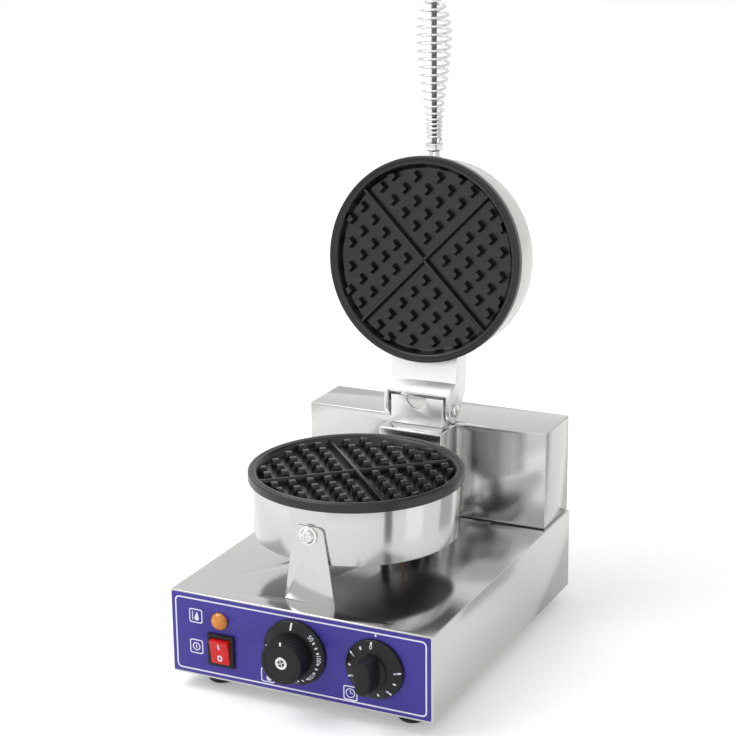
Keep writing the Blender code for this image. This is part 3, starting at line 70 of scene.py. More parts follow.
def colour(name, default, text):
    return FloatVectorProperty(name=name, default=default, subtype="COLOR", size=3, min=0.0, max=1.0,
                               description=text)


def share(name, default, text):
    return FloatProperty(name=name, default=default, min=0.0, max=1.0, subtype="FACTOR", description=text)


class SheetSettings(PropertyGroup):
    steel: colour("Steel", (0.57, 0.57, 0.56), "Colour of the brushed stainless sheet")
    satin: colour("Satin steel", (0.86, 0.86, 0.86), "Colour of the blasted hinge parts")
    bright: colour("Bright steel", (0.70, 0.70, 0.70), "Colour of screws, nuts and wire")
    roughness: share("Roughness", 0.17, "Roughness of the brushed sheet")
    drum_stretch: share("Drum stretch", 0.75, "How far the brush lines draw out the drum's reflections")
    edge: length("Edge radius", 0.35 * MM, "Softening of folded and cut sheet edges")


class PlateSettings(PropertyGroup):
    coat: colour("Coat", (0.007, 0.007, 0.0075), "Colour of the non-stick coat")
    roughness: share("Roughness", 0.30, "Roughness of the non-stick coat")
    stud_edge: length("Stud edge", 0.45 * MM, "Rounding of the studs' edges")
    rib_edge: length("Rib edge", 0.4 * MM, "Rounding of the ribs' edges")
    sides: IntProperty(name="Sides", default=144, min=24, max=256, description="Facets round the plate")


class PanelSettings(PropertyGroup):
    blue: colour("Blue", (0.058, 0.041, 0.325), "Colour of the control panel")
    ink: colour("Ink", (0.86, 0.84, 0.95), "Colour of the printed lines and signs")
    line: length("Line width", 1.35 * MM, "Width of the printed border line")
    ink_rise: length("Ink thickness", 0.06 * MM, "How far the print stands on the panel")


class DialSettings(PropertyGroup):
    plastic: colour("Plastic", (0.009, 0.009, 0.0095), "Colour of the dials and the switch frame")
    flutes: IntProperty(name="Flutes", default=52, min=8, max=90,
                        description="Flutes round the thermostat grip")
    digit: length("Digit height", 5.4 * MM, "Height of the dials' numbers")


class ControlSettings(PropertyGroup):
    red: colour("Red", (0.62, 0.010, 0.012), "Colour of the rocker")
    amber: colour("Amber", (0.58, 0.20, 0.010), "Colour of the lamp's lens")


class HandleSettings(PropertyGroup):
    wire: length("Wire radius", 1.3 * MM, "Radius of the coil's wire")
    foot: length("Foot radius", 6.4 * MM, "Radius of the coil's first turn")
    belly: length("Belly radius", 15.4 * MM, "Radius of the coil's widest turn")
    top: length("Top radius", 5.6 * MM, "Radius of the coil's last turn")
    steps: IntProperty(name="Steps", default=30, min=8, max=64, description="Points in each turn of the coil")


class StageSettings(PropertyGroup):
    backdrop: colour("Backdrop", (0.97, 0.97, 0.97), "Colour of the floor and of what surrounds the machine")
    fill: FloatProperty(name="Fill", default=0.64, min=0.0,
                        description="Strength of the light from all round")
    key: FloatProperty(name="Key", default=34.0, min=0.0, unit="POWER", description="Power of the large lamp")


SETTINGS = {"sheet": SheetSettings, "plate": PlateSettings, "panel": PanelSettings, "dial": DialSettings,
            "control": ControlSettings, "handle": HandleSettings, "stage": StageSettings}


def settings(name):
    return getattr(bpy.context.scene, "waffle_" + name)


# Node groups

def link(tree, source, target):
    tree.links.new(source, target)


def group_tree(name, inputs, outputs):
    tree = bpy.data.node_groups.new(name, "ShaderNodeTree")
    for label, kind, value in inputs:
        socket = tree.interface.new_socket(label, in_out="INPUT", socket_type=kind)
        if value is not None:
            socket.default_value = value
    for label, kind in outputs:
        tree.interface.new_socket(label, in_out="OUTPUT", socket_type=kind)
    return tree, tree.nodes.new("NodeGroupInput"), tree.nodes.new("NodeGroupOutput")


def math_node(tree, operation, first, second):
    node = tree.nodes.new("ShaderNodeMath")
    node.operation = operation
    for socket, value in zip(node.inputs, (first, second)):
        if hasattr(value, "links"):
            link(tree, value, socket)
        else:
            socket.default_value = value
    return node.outputs[0]


def mixed(tree, factor, low, high, kind="RGBA"):
    node = tree.nodes.new("ShaderNodeMix")
    node.data_type = kind
    ending = {"RGBA": "_Color", "FLOAT": "_Float"}[kind]
    names = [side + ending for side in ("A", "B", "Result")]
    sockets = {s.identifier: s for s in list(node.inputs) + list(node.outputs)}
    link(tree, factor, sockets["Factor_Float"])
    for name, value in zip(names, (low, high)):
        if hasattr(value, "links"):
            link(tree, value, sockets[name])
        else:
            sockets[name].default_value = value
    return sockets[names[2]]


def noise(tree, vector, scale, detail=3.0, roughness=0.55):
    node = tree.nodes.new("ShaderNodeTexNoise")
    node.inputs["Detail"].default_value = detail
    node.inputs["Roughness"].default_value = roughness
    node.inputs["Scale"].default_value = scale
    link(tree, vector, node.inputs["Vector"])
    return node.outputs["Fac"]


def brushing_group():
    """Long fine scratches across a stretched space, with soft cloudy wear over them."""
    tree, start, end = group_tree(
        "Brushing",
        [("Vector", "NodeSocketVector", None), ("Colour", "NodeSocketColor", (0.66, 0.66, 0.65, 1.0)),
         ("Depth", "NodeSocketFloat", 0.12), ("Roughness", "NodeSocketFloat", 0.27)],
        [("Colour", "NodeSocketColor"), ("Roughness", "NodeSocketFloat"), ("Height", "NodeSocketFloat")])
    streaks = noise(tree, start.outputs["Vector"], 1.0, 4.0, 0.65)
    fine = noise(tree, start.outputs["Vector"], 3.1, 2.0, 0.5)
    coords = tree.nodes.new("ShaderNodeTexCoord").outputs["Object"]
    cloud = noise(tree, coords, 12.0, 2.0)
    both = mixed(tree, fine, streaks, fine, "FLOAT")
    tone = math_node(tree, "MULTIPLY", math_node(tree, "SUBTRACT", both, 0.5), start.outputs["Depth"])
    cloudy = math_node(tree, "MULTIPLY", math_node(tree, "SUBTRACT", cloud, 0.5), 0.05)
    gain = math_node(tree, "ADD", math_node(tree, "ADD", tone, cloudy), 1.0)
    scaled = tree.nodes.new("ShaderNodeVectorMath")
    scaled.operation = "SCALE"
    link(tree, start.outputs["Colour"], scaled.inputs[0])
    link(tree, gain, scaled.inputs["Scale"])
    link(tree, scaled.outputs[0], end.inputs["Colour"])
    rough = math_node(tree, "ADD", start.outputs["Roughness"], math_node(tree, "MULTIPLY", tone, 1.0))
    link(tree, rough, end.inputs["Roughness"])
    link(tree, both, end.inputs["Height"])
    return tree


def grain_group():
    """Fine pits of cast or moulded stuff, with a slow drift of gloss."""
    tree, start, end = group_tree(
        "Grain",
        [("Scale", "NodeSocketFloat", 900.0), ("Colour", "NodeSocketColor", (0.1, 0.1, 0.1, 1.0)),
         ("Tint", "NodeSocketFloat", 0.2), ("Roughness", "NodeSocketFloat", 0.45),
         ("Drift", "NodeSocketFloat", 0.1)],
        [("Colour", "NodeSocketColor"), ("Roughness", "NodeSocketFloat"), ("Height", "NodeSocketFloat")])
    coords = tree.nodes.new("ShaderNodeTexCoord").outputs["Object"]
    pits = tree.nodes.new("ShaderNodeTexNoise")
    pits.inputs["Detail"].default_value = 3.0
    link(tree, coords, pits.inputs["Vector"])
    link(tree, start.outputs["Scale"], pits.inputs["Scale"])
    cloud = noise(tree, coords, 28.0, 3.0)
    shift = math_node(tree, "SUBTRACT", cloud, 0.5)
    gain = math_node(tree, "ADD", math_node(tree, "MULTIPLY", shift, start.outputs["Tint"]), 1.0)
    scaled = tree.nodes.new("ShaderNodeVectorMath")
    scaled.operation = "SCALE"
    link(tree, start.outputs["Colour"], scaled.inputs[0])
    link(tree, gain, scaled.inputs["Scale"])
    link(tree, scaled.outputs[0], end.inputs["Colour"])
    rough = math_node(tree, "ADD", start.outputs["Roughness"],
                      math_node(tree, "MULTIPLY", shift, start.outputs["Drift"]))
    link(tree, rough, end.inputs["Roughness"])
    link(tree, pits.outputs["Fac"], end.inputs["Height"])
    return tree


def node_group(name, maker):
    return bpy.data.node_groups.get(name) or maker()


# Materials

def new_material(name):
    mat = bpy.data.materials.new(name)
    mat.use_nodes = True
    return mat, mat.node_tree, mat.node_tree.nodes["Principled BSDF"]


def wear_surface(tree, shader, group, strength, distance):
    """Joins a finish group to the shader: colour, roughness and a bump."""
    link(tree, group.outputs["Colour"], shader.inputs["Base Color"])
    link(tree, group.outputs["Roughness"], shader.inputs["Roughness"])
    bump = tree.nodes.new("ShaderNodeBump")
    bump.inputs["Strength"].default_value = strength
    bump.inputs["Distance"].default_value = distance
    link(tree, group.outputs["Height"], bump.inputs["Height"])
    link(tree, bump.outputs["Normal"], shader.inputs["Normal"])


def brushed(name, tint, along, roughness, depth=0.06, strength=0.03, turn=(0.0, 0.0, 0.0), stretch=0.0):
    """Brushed metal. The brush ran along the axes of 'along', which are drawn out to long scratches."""
    if name in bpy.data.materials:
        return bpy.data.materials[name]
    mat, tree, shader = new_material(name)
    coords = tree.nodes.new("ShaderNodeTexCoord")
    place = tree.nodes.new("ShaderNodeMapping")
    place.inputs["Rotation"].default_value = turn
    link(tree, coords.outputs["Object"], place.inputs["Vector"])
    drawn = tree.nodes.new("ShaderNodeMapping")
    drawn.inputs["Scale"].default_value = [7.0 if axis in along else 1500.0 for axis in "XYZ"]
    link(tree, place.outputs["Vector"], drawn.inputs["Vector"])
    group = tree.nodes.new("ShaderNodeGroup")
    group.node_tree = node_group("Brushing", brushing_group)
    link(tree, drawn.outputs["Vector"], group.inputs["Vector"])
    group.inputs["Colour"].default_value = (*tint, 1.0)
    group.inputs["Depth"].default_value = depth
    group.inputs["Roughness"].default_value = roughness
    shader.inputs["Metallic"].default_value = 1.0
    shader.inputs["Anisotropic"].default_value = stretch
    shader.inputs["Anisotropic Rotation"].default_value = 0.25
    wear_surface(tree, shader, group, strength, 0.2 * MM)
    return mat


def grained(name, tint, roughness, scale=900.0, tone=0.2, drift=0.12, strength=0.15, metallic=0.0, coat=0.0,
            distance=0.1 * MM, shine=0.5):
    """Moulded or cast stuff with a fine grain."""
    if name in bpy.data.materials:
        return bpy.data.materials[name]
    mat, tree, shader = new_material(name)
    group = tree.nodes.new("ShaderNodeGroup")
    group.node_tree = node_group("Grain", grain_group)
    group.inputs["Scale"].default_value = scale
    group.inputs["Colour"].default_value = (*tint, 1.0)
    group.inputs["Tint"].default_value = tone
    group.inputs["Roughness"].default_value = roughness
    group.inputs["Drift"].default_value = drift
    shader.inputs["Metallic"].default_value = metallic
    shader.inputs["Coat Weight"].default_value = coat
    shader.inputs["Specular IOR Level"].default_value = shine
    wear_surface(tree, shader, group, strength, distance)
    return mat


LID_LEAN = math.radians(6.93)


def steel(way):
    """Brushed sheet: 'length' runs along Y, 'cross' along X, 'ring' and 'lid ring' round a drum."""
    cfg = settings("sheet")
    along = {"length": "Y", "cross": "X", "upright": "Z", "ring": "XY", "lid ring": "XZ"}[way]
    turn = (LID_LEAN if way == "lid ring" else 0.0, 0.0, 0.0)
    stretch = cfg.drum_stretch if way == "ring" else 0.0
    return brushed("Sheet brushed " + way, tuple(cfg.steel), along, cfg.roughness, turn=turn, stretch=stretch)


def satin_steel():
    return brushed("Satin steel", tuple(settings("sheet").satin), "XY", 0.42, depth=0.03, strength=0.02)


def bright_steel():
    return brushed("Bright steel", tuple(settings("sheet").bright), "XY", 0.14, depth=0.06, strength=0.02)


def plain_steel():
    return brushed("Plain steel", (0.42, 0.42, 0.43), "Y", 0.34, depth=0.08, strength=0.04)


def dark_steel():
    return brushed("Dark steel", (0.17, 0.17, 0.18), "Z", 0.30, depth=0.10, strength=0.04)


def cast_coat():
    cfg = settings("plate")
    return grained("Cast non-stick", tuple(cfg.coat), cfg.roughness, scale=1400.0, tone=0.5, drift=0.16,
                   strength=0.35)


def black_plastic():
    return grained("Black plastic", tuple(settings("dial").plastic), 0.38, scale=1700.0, tone=0.3,
                   strength=0.10, shine=0.28)


def grey_plastic():
    return grained("Grey plastic", (0.24, 0.24, 0.25), 0.5, scale=1200.0, tone=0.1)


def panel_blue():
    return grained("Panel blue", tuple(settings("panel").blue), 0.34, scale=2200.0, tone=0.10, drift=0.06,
                   strength=0.04, shine=0.3)


def ink():
    return grained("White ink", tuple(settings("panel").ink), 0.45, scale=2400.0, tone=0.06, strength=0.05)


def rubber():
    return grained("Foot rubber", (0.014, 0.014, 0.014), 0.72, scale=1100.0, tone=0.3, strength=0.25)


def fibre():
    return grained("Glass fibre", (0.62, 0.59, 0.52), 0.9, scale=600.0, tone=0.25, strength=0.7)


def ceramic():
    return grained("Ceramic", (0.66, 0.64, 0.60), 0.45, scale=500.0, tone=0.1)


def copper():
    return brushed("Copper", (0.20, 0.11, 0.07), "Z", 0.35, depth=0.1)


def red_plastic():
    """Clear-faced red button over a lamp: glossy, with a little light of its own."""
    mat = grained("Rocker red", tuple(settings("control").red), 0.24, scale=300.0, tone=0.15, drift=0.05,
                  strength=0.03, coat=0.1, shine=0.3)
    shader = mat.node_tree.nodes["Principled BSDF"]
    shader.inputs["Emission Color"].default_value = (*settings("control").red, 1.0)
    shader.inputs["Emission Strength"].default_value = 0.12
    return mat


def amber_glass():
    """Coloured lens with a bright core."""
    mat = grained("Amber lens", tuple(settings("control").amber), 0.10, scale=420.0, tone=1.6, drift=0.05,
                  strength=0.5, coat=0.3, distance=0.5 * MM)
    shader = mat.node_tree.nodes["Principled BSDF"]
    shader.inputs["Emission Color"].default_value = (0.80, 0.24, 0.01, 1.0)
    shader.inputs["Emission Strength"].default_value = 0.05
    return mat


# Mesh helpers

def corners(node):
    """The low and the high corner of a frame node's box."""
    return tuple(Vector(corner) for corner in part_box(node))


def join_close(bm):
    bmesh.ops.remove_doubles(bm, verts=bm.verts, dist=0.002 * MM)
    return bm


def piece(name, bm, material, body, replaces=(), place=None, angle=math.radians(34)):
    """A finished piece at the origin, smooth but for its sharp edges, riding on a body of the frame."""
    if place is not None:
        bmesh.ops.transform(bm, matrix=place, verts=bm.verts)
    mesh = bpy.data.meshes.new(name)
    bm.to_mesh(mesh)
    bm.free()
    mesh.shade_smooth()
    mesh.set_sharp_from_angle(angle=angle)
    mesh.materials.append(material)
    obj = bpy.data.objects.new(name, mesh)
    bpy.context.scene.collection.objects.link(obj)
    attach(obj, body)
    if replaces:
        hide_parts(*replaces)
    return obj


def sharp_edges(bm, least=math.radians(28)):
    return [e for e in bm.edges if len(e.link_faces) == 2 and e.calc_face_angle(0.0) > least]


def round_edges(bm, edges, width, segments=2):
    bmesh.ops.bevel(bm, geom=edges, offset=width, segments=segments, affect="EDGES", profile=0.5, material=-1,
                    clamp_overlap=True)
    return bm


def carried(node, name, material, body, edge=0.0, segments=2):
    """A merged copy of a frame node with softened edges, which stands for it."""
    bm = bmesh.new()
    bm.from_mesh(NODES[node].data)
    join_close(bm)
    bmesh.ops.dissolve_limit(bm, angle_limit=math.radians(0.4), verts=bm.verts, edges=bm.edges)
    if edge:
        round_edges(bm, sharp_edges(bm), edge, segments)
    return piece(name, bm, material, body, (node,))


def finish_node(node, material):
    """A better finish on a frame node whose shape stays."""
    data = NODES[node].data
    data.materials.clear()
    data.materials.append(material)


def lathe(profile, sides, close=False):
    """A solid of revolution about Z, spun from a profile of (radius, height)."""
    bm = bmesh.new()
    verts = [bm.verts.new((radius, 0.0, height)) for radius, height in profile]
    edges = [bm.edges.new(pair) for pair in zip(verts, verts[1:])]
    if close:
        edges.append(bm.edges.new((verts[-1], verts[0])))
    bmesh.ops.spin(bm, geom=verts + edges, cent=(0, 0, 0), axis=(0, 0, 1), angle=math.tau, steps=sides,
                   use_merge=True, use_duplicate=False)
    join_close(bm)
    bmesh.ops.recalc_face_normals(bm, faces=bm.faces)
    return bm


def loft(rings):
    """A closed solid through rings of as many points each, from the back to the front."""
    bm = bmesh.new()
    rows = [[bm.verts.new(point) for point in ring] for ring in rings]
    for row, after in zip(rows, rows[1:]):
        for i in range(len(row)):
            j = (i + 1) % len(row)
            bm.faces.new((row[i], row[j], after[j], after[i]))
    bm.faces.new(rows[0])
    bm.faces.new(rows[-1])
    bmesh.ops.recalc_face_normals(bm, faces=bm.faces)
    return bm


def fluted_ring(radius, depth, flutes, height, count):
    """A circle of radius at height whose edge dips by depth between the flutes."""
    ring = []
    for i in range(count):
        angle = math.tau * i / count
        reach = radius - depth * (0.5 - 0.5 * math.cos(flutes * angle))
        ring.append((reach * math.cos(angle), reach * math.sin(angle), height))
    return ring


def add_box(bm, low, high, edge=0.0, turn=None, segments=2):
    low, high = Vector(low), Vector(high)
    place = Matrix.Translation((low + high) / 2) @ Matrix.Diagonal((*(high - low), 1.0))
    made = bmesh.ops.create_cube(bm, size=1.0, matrix=(turn or Matrix.Identity(4)) @ place)["verts"]
    if edge:
        edges = {e for v in made for e in v.link_edges}
        round_edges(bm, list(edges), edge, segments)
    return bm


def outline_face(bm, points, height):
    """A flat face from points of (a, b), drawn in XY."""
    return bm.faces.new([bm.verts.new((a, b, height)) for a, b in points])


def raised(points, low, high, edge=0.0, segments=2):
    """A flat outline drawn in XY and extruded along Z, with its top edge rounded."""
    bm = bmesh.new()
    face = outline_face(bm, points, low)
    made = bmesh.ops.extrude_face_region(bm, geom=[face])["geom"]
    top = [v for v in made if isinstance(v, bmesh.types.BMVert)]
    bmesh.ops.translate(bm, verts=top, vec=(0, 0, high - low))
    bmesh.ops.recalc_face_normals(bm, faces=bm.faces)
    if edge:
        rim = [e for e in bm.edges if all(abs(v.co.z - high) < 1e-7 for v in e.verts)]
        round_edges(bm, rim, edge, segments)
    return bm


def arc(centre, radius, start, end, count):
    angles = [math.radians(start + (end - start) * i / (count - 1)) for i in range(count)]
    return [(centre[0] + radius * math.cos(a), centre[1] + radius * math.sin(a)) for a in angles]


def rounded_rectangle(half_a, half_b, corner, centre=(0.0, 0.0), count=6):
    points = []
    for side_a, side_b, start in ((1, 1, 0), (-1, 1, 90), (-1, -1, 180), (1, -1, 270)):
        middle = (centre[0] + side_a * (half_a - corner), centre[1] + side_b * (half_b - corner))
        points += arc(middle, corner, start, start + 90, count)
    return points


def ring_strip(bm, outer, inner, low, high):
    """A flat raised line between two outlines of as many points each."""
    count = len(outer)
    rows = [[bm.verts.new((a, b, z)) for a, b in points] for points, z in
            ((outer, low), (outer, high), (inner, high), (inner, low))]
    for row, after in zip(rows, rows[1:] + rows[:1]):
        for i in range(count):
            j = (i + 1) % count
            bm.faces.new((row[i], row[j], after[j], after[i]))
    return bm


def text_mesh(words, size, thickness):
    """Plain characters as a solid in XY, centred on the origin."""
    curve = bpy.data.curves.new("words", "FONT")
    curve.body = words
    curve.size = size
    curve.extrude = thickness / 2
    curve.resolution_u = 3
    curve.align_x = "CENTER"
    curve.align_y = "CENTER"
    obj = bpy.data.objects.new("words", curve)
    bpy.context.scene.collection.objects.link(obj)
    bpy.context.view_layer.update()
    ready = obj.evaluated_get(bpy.context.evaluated_depsgraph_get())
    mesh = bpy.data.meshes.new_from_object(ready)
    bm = bmesh.new()
    bm.from_mesh(mesh)
    join_close(bm)
    bpy.data.objects.remove(obj)
    bpy.data.curves.remove(curve)
    bpy.data.meshes.remove(mesh)
    return bm


def merge_into(bm, other, place=None):
    if place is not None:
        bmesh.ops.transform(other, matrix=place, verts=other.verts)
    mesh = bpy.data.meshes.new("part")
    other.to_mesh(mesh)
    other.free()
    bm.from_mesh(mesh)
    bpy.data.meshes.remove(mesh)
    return bm


# Places

PANEL_LOW, PANEL_HIGH = corners("front_panel")
OUT = Matrix.Rotation(math.radians(90), 4, "X")   # local Z faces the front, local Y is up


def on_panel(x, z):
    """A place on the panel's surface with local Z out of it."""
    return Matrix.Translation((x, PANEL_LOW.y, z)) @ OUT


def control_seat(node):
    """A round control's place on the panel, its radius and how far it stands out."""
    low, high = corners(node)
    middle = (low + high) / 2
    return on_panel(middle.x, middle.z), (high.z - low.z) / 2, PANEL_LOW.y - low.y


class WAFFLE_OT_housing(Operator):
    """Brushed sheet of the base, the rear box, the post and the head supports"""
    bl_idname = "waffle.housing"
    bl_label = "Housing"

    def execute(self, context):
        edge = settings("sheet").edge
        for node, name, way in (
                ("base_shell", "base_sheet", "length"), ("rear_housing", "rear_box_sheet", "cross"),
                ("rear_end_left", "rear_box_left_end", "length"),
                ("rear_end_right", "rear_box_right_end", "length"),
                ("hinge_post", "post_sheet", "upright"), ("front_support", "front_leg", "upright"),
                ("rear_support", "rear_leg", "upright")):
            carried(node, name, steel(way), "base", edge)
        # A strip of painted shadow along the foot of the rear box
        self.seam()
        carried("bottom_plate", "vented_bottom", plain_steel(), "base")
        for corner in ("front_left", "front_right", "rear_left", "rear_right"):
            carried("foot_" + corner, "rubber_foot_" + corner, rubber(), "base", 0.6 * MM)
        carried("cord_gland", "gland", black_plastic(), "base", 0.4 * MM)
        carried("lead_grommet", "grommet", rubber(), "base", 0.5 * MM)
        finish_node("terminal_block", ceramic())
        finish_node("thermostat_capillary", copper())
        for node in ("thermostat_body", "timer_body", "lamp_body"):
            finish_node(node, grey_plastic())
        for node in ("lower_lead_sleeve", "post_lead_sleeve"):
            finish_node(node, rubber())
        finish_node("lower_insulation", fibre())
        finish_node("lower_element", plain_steel())
        return {"FINISHED"}

    def seam(self):
        """A thin dark strip along the foot of the rear box, painted shadow where the box meets the base."""
        low, high = corners("rear_housing")
        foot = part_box("base_shell")[1][2]
        proud, tall = 0.3 * MM, 0.9 * MM
        strip = add_box(bmesh.new(), (low.x, low.y - proud, foot), (high.x, low.y, foot + tall))
        # Painted shadow: a dark strip in the foot rubber's colour along the box's lower front edge
        piece("rear_box_shadow_strip", strip, rubber(), "base")


class WAFFLE_OT_panel(Operator):
    """Blue control panel with its printed border, four signs and the timer's index"""
    bl_idname = "waffle.panel"
    bl_label = "Control panel"

    def execute(self, context):
        cfg = settings("panel")
        carried("front_panel", "blue_panel", panel_blue(), "base", 0.12 * MM)
        middle_x = (PANEL_LOW.x + PANEL_HIGH.x) / 2
        middle_z = (PANEL_LOW.z + PANEL_HIGH.z) / 2
        half_x = (PANEL_HIGH.x - PANEL_LOW.x) / 2 - 3.2 * MM
        half_z = (PANEL_HIGH.z - PANEL_LOW.z) / 2 - 3.0 * MM
        corner = 4.5 * MM
        rise = cfg.ink_rise
        dot = 1.1 * MM
        print_bm = bmesh.new()
        ring_strip(print_bm, rounded_rectangle(half_x, half_z, corner),
                   rounded_rectangle(half_x - cfg.line, half_z - cfg.line, corner - cfg.line), 0.0, rise)
        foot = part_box("base_shell")[0][2] - middle_z
        index = lathe([(0.0, rise), (dot, rise), (dot, 0.0), (0.0, 0.0)], 20)
        for x, z, sign in ((-99.5, 57.2, sign_lamp(rise)), (-99.8, 28.4, sign_mains(rise)),
                           (-29.6, 14.6, sign_heat(rise)), (49.4, 13.8, sign_clock(rise)),
                           (73.4, 70.8, index)):
            merge_into(print_bm, sign, Matrix.Translation((x * MM - middle_x, z * MM + foot, 0.0)))
        bmesh.ops.recalc_face_normals(print_bm, faces=print_bm.faces)
        piece("panel_print", print_bm, ink(), "base", place=on_panel(middle_x, middle_z))
        return {"FINISHED"}


SIGN_HALF = 6.6 * MM
SIGN_LINE = 1.0 * MM


def sign_frame(rise):
    """The rounded square round a sign."""
    corner = 2.0 * MM
    inner = SIGN_HALF - SIGN_LINE
    return ring_strip(bmesh.new(), rounded_rectangle(SIGN_HALF, SIGN_HALF, corner),
                      rounded_rectangle(inner, inner, corner - SIGN_LINE / 2), 0.0, rise)


def drop_points(width, height, at=(0.0, 0.0)):
    """A flame or drop: a round foot drawn up to a point."""
    round_part = arc((0.0, 0.0), width, -200, 20, 12)
    points = [(at[0] + a, at[1] + b - height / 4) for a, b in round_part]
    return points + [(at[0] + width * 0.25, at[1] + height / 2), (at[0] - width * 0.35, at[1] + height * 0.2)]


def sign_lamp(rise):
    bm = sign_frame(rise)
    merge_into(bm, raised(drop_points(2.2 * MM, 8.5 * MM, (0.8 * MM, 0.0)), 0.0, rise))
    add_box(bm, (-3.6 * MM, -4.0 * MM, 0.0), (-2.8 * MM, 4.0 * MM, rise))
    return bm


def sign_mains(rise):
    bm = sign_frame(rise)
    outer = arc((0.0, 0.0), 3.9 * MM, 0, 330, 12)
    inner = arc((0.0, 0.0), 2.9 * MM, 0, 330, 12)
    ring_strip(bm, outer, inner, 0.0, rise)
    add_box(bm, (-0.5 * MM, -1.6 * MM, 0.0), (0.5 * MM, 1.6 * MM, rise))
    return bm


def sign_heat(rise):
    bm = sign_frame(rise)
    merge_into(bm, raised(drop_points(2.6 * MM, 8.0 * MM, (1.2 * MM, -0.4 * MM)), 0.0, rise))
    return bm


def sign_clock(rise):
    bm = sign_frame(rise)
    outer = arc((0.0, 0.0), 4.4 * MM, 0, 345, 24)
    inner = arc((0.0, 0.0), 3.6 * MM, 0, 345, 24)
    ring_strip(bm, outer, inner, 0.0, rise)
    add_box(bm, (-0.35 * MM, 0.0, 0.0), (0.35 * MM, 2.8 * MM, rise))
    add_box(bm, (0.0, -0.35 * MM, 0.0), (2.2 * MM, 0.35 * MM, rise))
    return bm


# Dials

MARK_RISE = 0.08 * MM
TICK_WIDTH = 1.5 * MM
SKIRT_SIDES = 96
SKIRT_BACK = 0.4 * MM


def dial_cone(near, near_height, radius):
    """The sloped ring that carries a dial's marks, as its inner and outer (radius, height)."""
    return (near, near_height), (radius - 1.3 * MM, 3.8 * MM)


def skirt_rim(cone, radius):
    """The profile of a dial's skirt from its slope round to the back."""
    return [*cone, (radius - 0.4 * MM, 3.2 * MM), (radius, 2.5 * MM), (radius, SKIRT_BACK), (0.0, SKIRT_BACK)]


def on_slope(cone, degrees):
    """The place at a slope's inner edge, degrees clockwise from the top, local X down it, and its reach."""
    (near, near_height), (far, far_height) = cone
    slope = math.atan2(near_height - far_height, far - near)
    place = (Matrix.Rotation(math.radians(90 - degrees), 4, "Z")
             @ Matrix.Translation((near, 0.0, near_height)) @ Matrix.Rotation(slope, 4, "Y"))
    return place, math.hypot(far - near, near_height - far_height)


def dial_marks(cone, ticks, digits, size):
    """Bars at (degrees, inner share, outer share) and numbers at (degrees, words) on a dial's slope."""
    bm = bmesh.new()
    for degrees, near, far in ticks:
        place, reach = on_slope(cone, degrees)
        bar = add_box(bmesh.new(), (near * reach, -TICK_WIDTH / 2, 0.0),
                      (far * reach, TICK_WIDTH / 2, MARK_RISE))
        merge_into(bm, bar, place)
    for degrees, words in digits:
        place, reach = on_slope(cone, degrees)
        upright = Matrix.Translation((reach * 0.5, 0.0, 0.0)) @ Matrix.Rotation(math.radians(-90), 4, "Z")
        merge_into(bm, text_mesh(words, size, MARK_RISE * 2), place @ upright)
    return bm


class WAFFLE_OT_thermostat_dial(Operator):
    """Thermostat dial: skirt with a numbered slope, fluted grip, slotted disc"""
    bl_idname = "waffle.thermostat_dial"
    bl_label = "Thermostat dial"

    def execute(self, context):
        cfg = settings("dial")
        place, radius, top = control_seat("thermostat_knob")
        grip = 19.4 * MM
        cone = dial_cone(grip + 2.1 * MM, 7.7 * MM, radius)
        skirt = lathe([(0.0, 7.6 * MM), (cone[0][0] - 0.5 * MM, 7.8 * MM), *skirt_rim(cone, radius)],
                      SKIRT_SIDES)
        merge_into(skirt, self.grip(grip, top, cfg.flutes))
        piece("thermostat_dial_knob", skirt, black_plastic(), "thermostat_dial",
              ("thermostat_knob",), place)
        between = (56.5, 67.5, 78.5, 102, 113, 124, 146, 157, 168, 191, 202, 213, 236, 247, 258)
        ticks = [(-2, 0.1, 0.95)] + [(degrees, 0.32, 0.62) for degrees in between]
        numbers = [(45 * i, str(50 * i)) for i in range(1, 7)]
        marks = dial_marks(cone, ticks, numbers, cfg.digit)
        half = 0.9 * MM
        pointer = add_box(bmesh.new(), (-half, grip - 3.4 * MM, top - 0.6 * MM),
                          (half, grip - 0.2 * MM, top + MARK_RISE), 0.05 * MM)
        merge_into(marks, pointer)
        piece("thermostat_dial_marks", marks, ink(), "thermostat_dial", place=place)
        self.disc(place)
        return {"FINISHED"}

    def disc(self, place):
        """The slotted metal disc in the grip's face."""
        low, high = corners("thermostat_knob_disc")
        radius = (high.z - low.z) / 2
        back, front = PANEL_LOW.y - high.y, PANEL_LOW.y - low.y
        sunk, edge = 0.25 * MM, 0.4 * MM
        disc = lathe([(0.0, front - sunk), (radius * 0.55, front - sunk), (radius * 0.62, front),
                      (radius - edge, front), (radius, front - edge), (radius, back), (0.0, back)], 48)
        half_length, half_width = radius * 0.52, 0.45 * MM
        for turn in (20, 110):
            slot = add_box(bmesh.new(), (-half_length, -half_width, front - 0.3 * MM),
                           (half_length, half_width, front - 0.1 * MM))
            merge_into(disc, slot, Matrix.Rotation(math.radians(turn), 4, "Z"))
        piece("thermostat_dial_disc", disc, bright_steel(), "thermostat_dial",
              ("thermostat_knob_disc",), place)

    def grip(self, radius, top, flutes):
        """Fluted wall, rounded rim and a shallow dish in the face."""
        depth = 0.7 * MM
        rim, dish = 1.1 * MM, 3.2 * MM
        sunk = top - 0.5 * MM
        rows = ((radius, depth, 6.0 * MM), (radius, depth, top - rim),
                (radius - 0.3 * rim, depth * 0.7, top - 0.3 * rim), (radius - rim, depth * 0.25, top),
                (radius - dish, 0.0, top), (radius - dish - 0.4 * MM, 0.0, sunk), (3.0 * MM, 0.0, sunk))
        return loft([fluted_ring(reach, deep, flutes, height, flutes * 6) for reach, deep, height in rows])


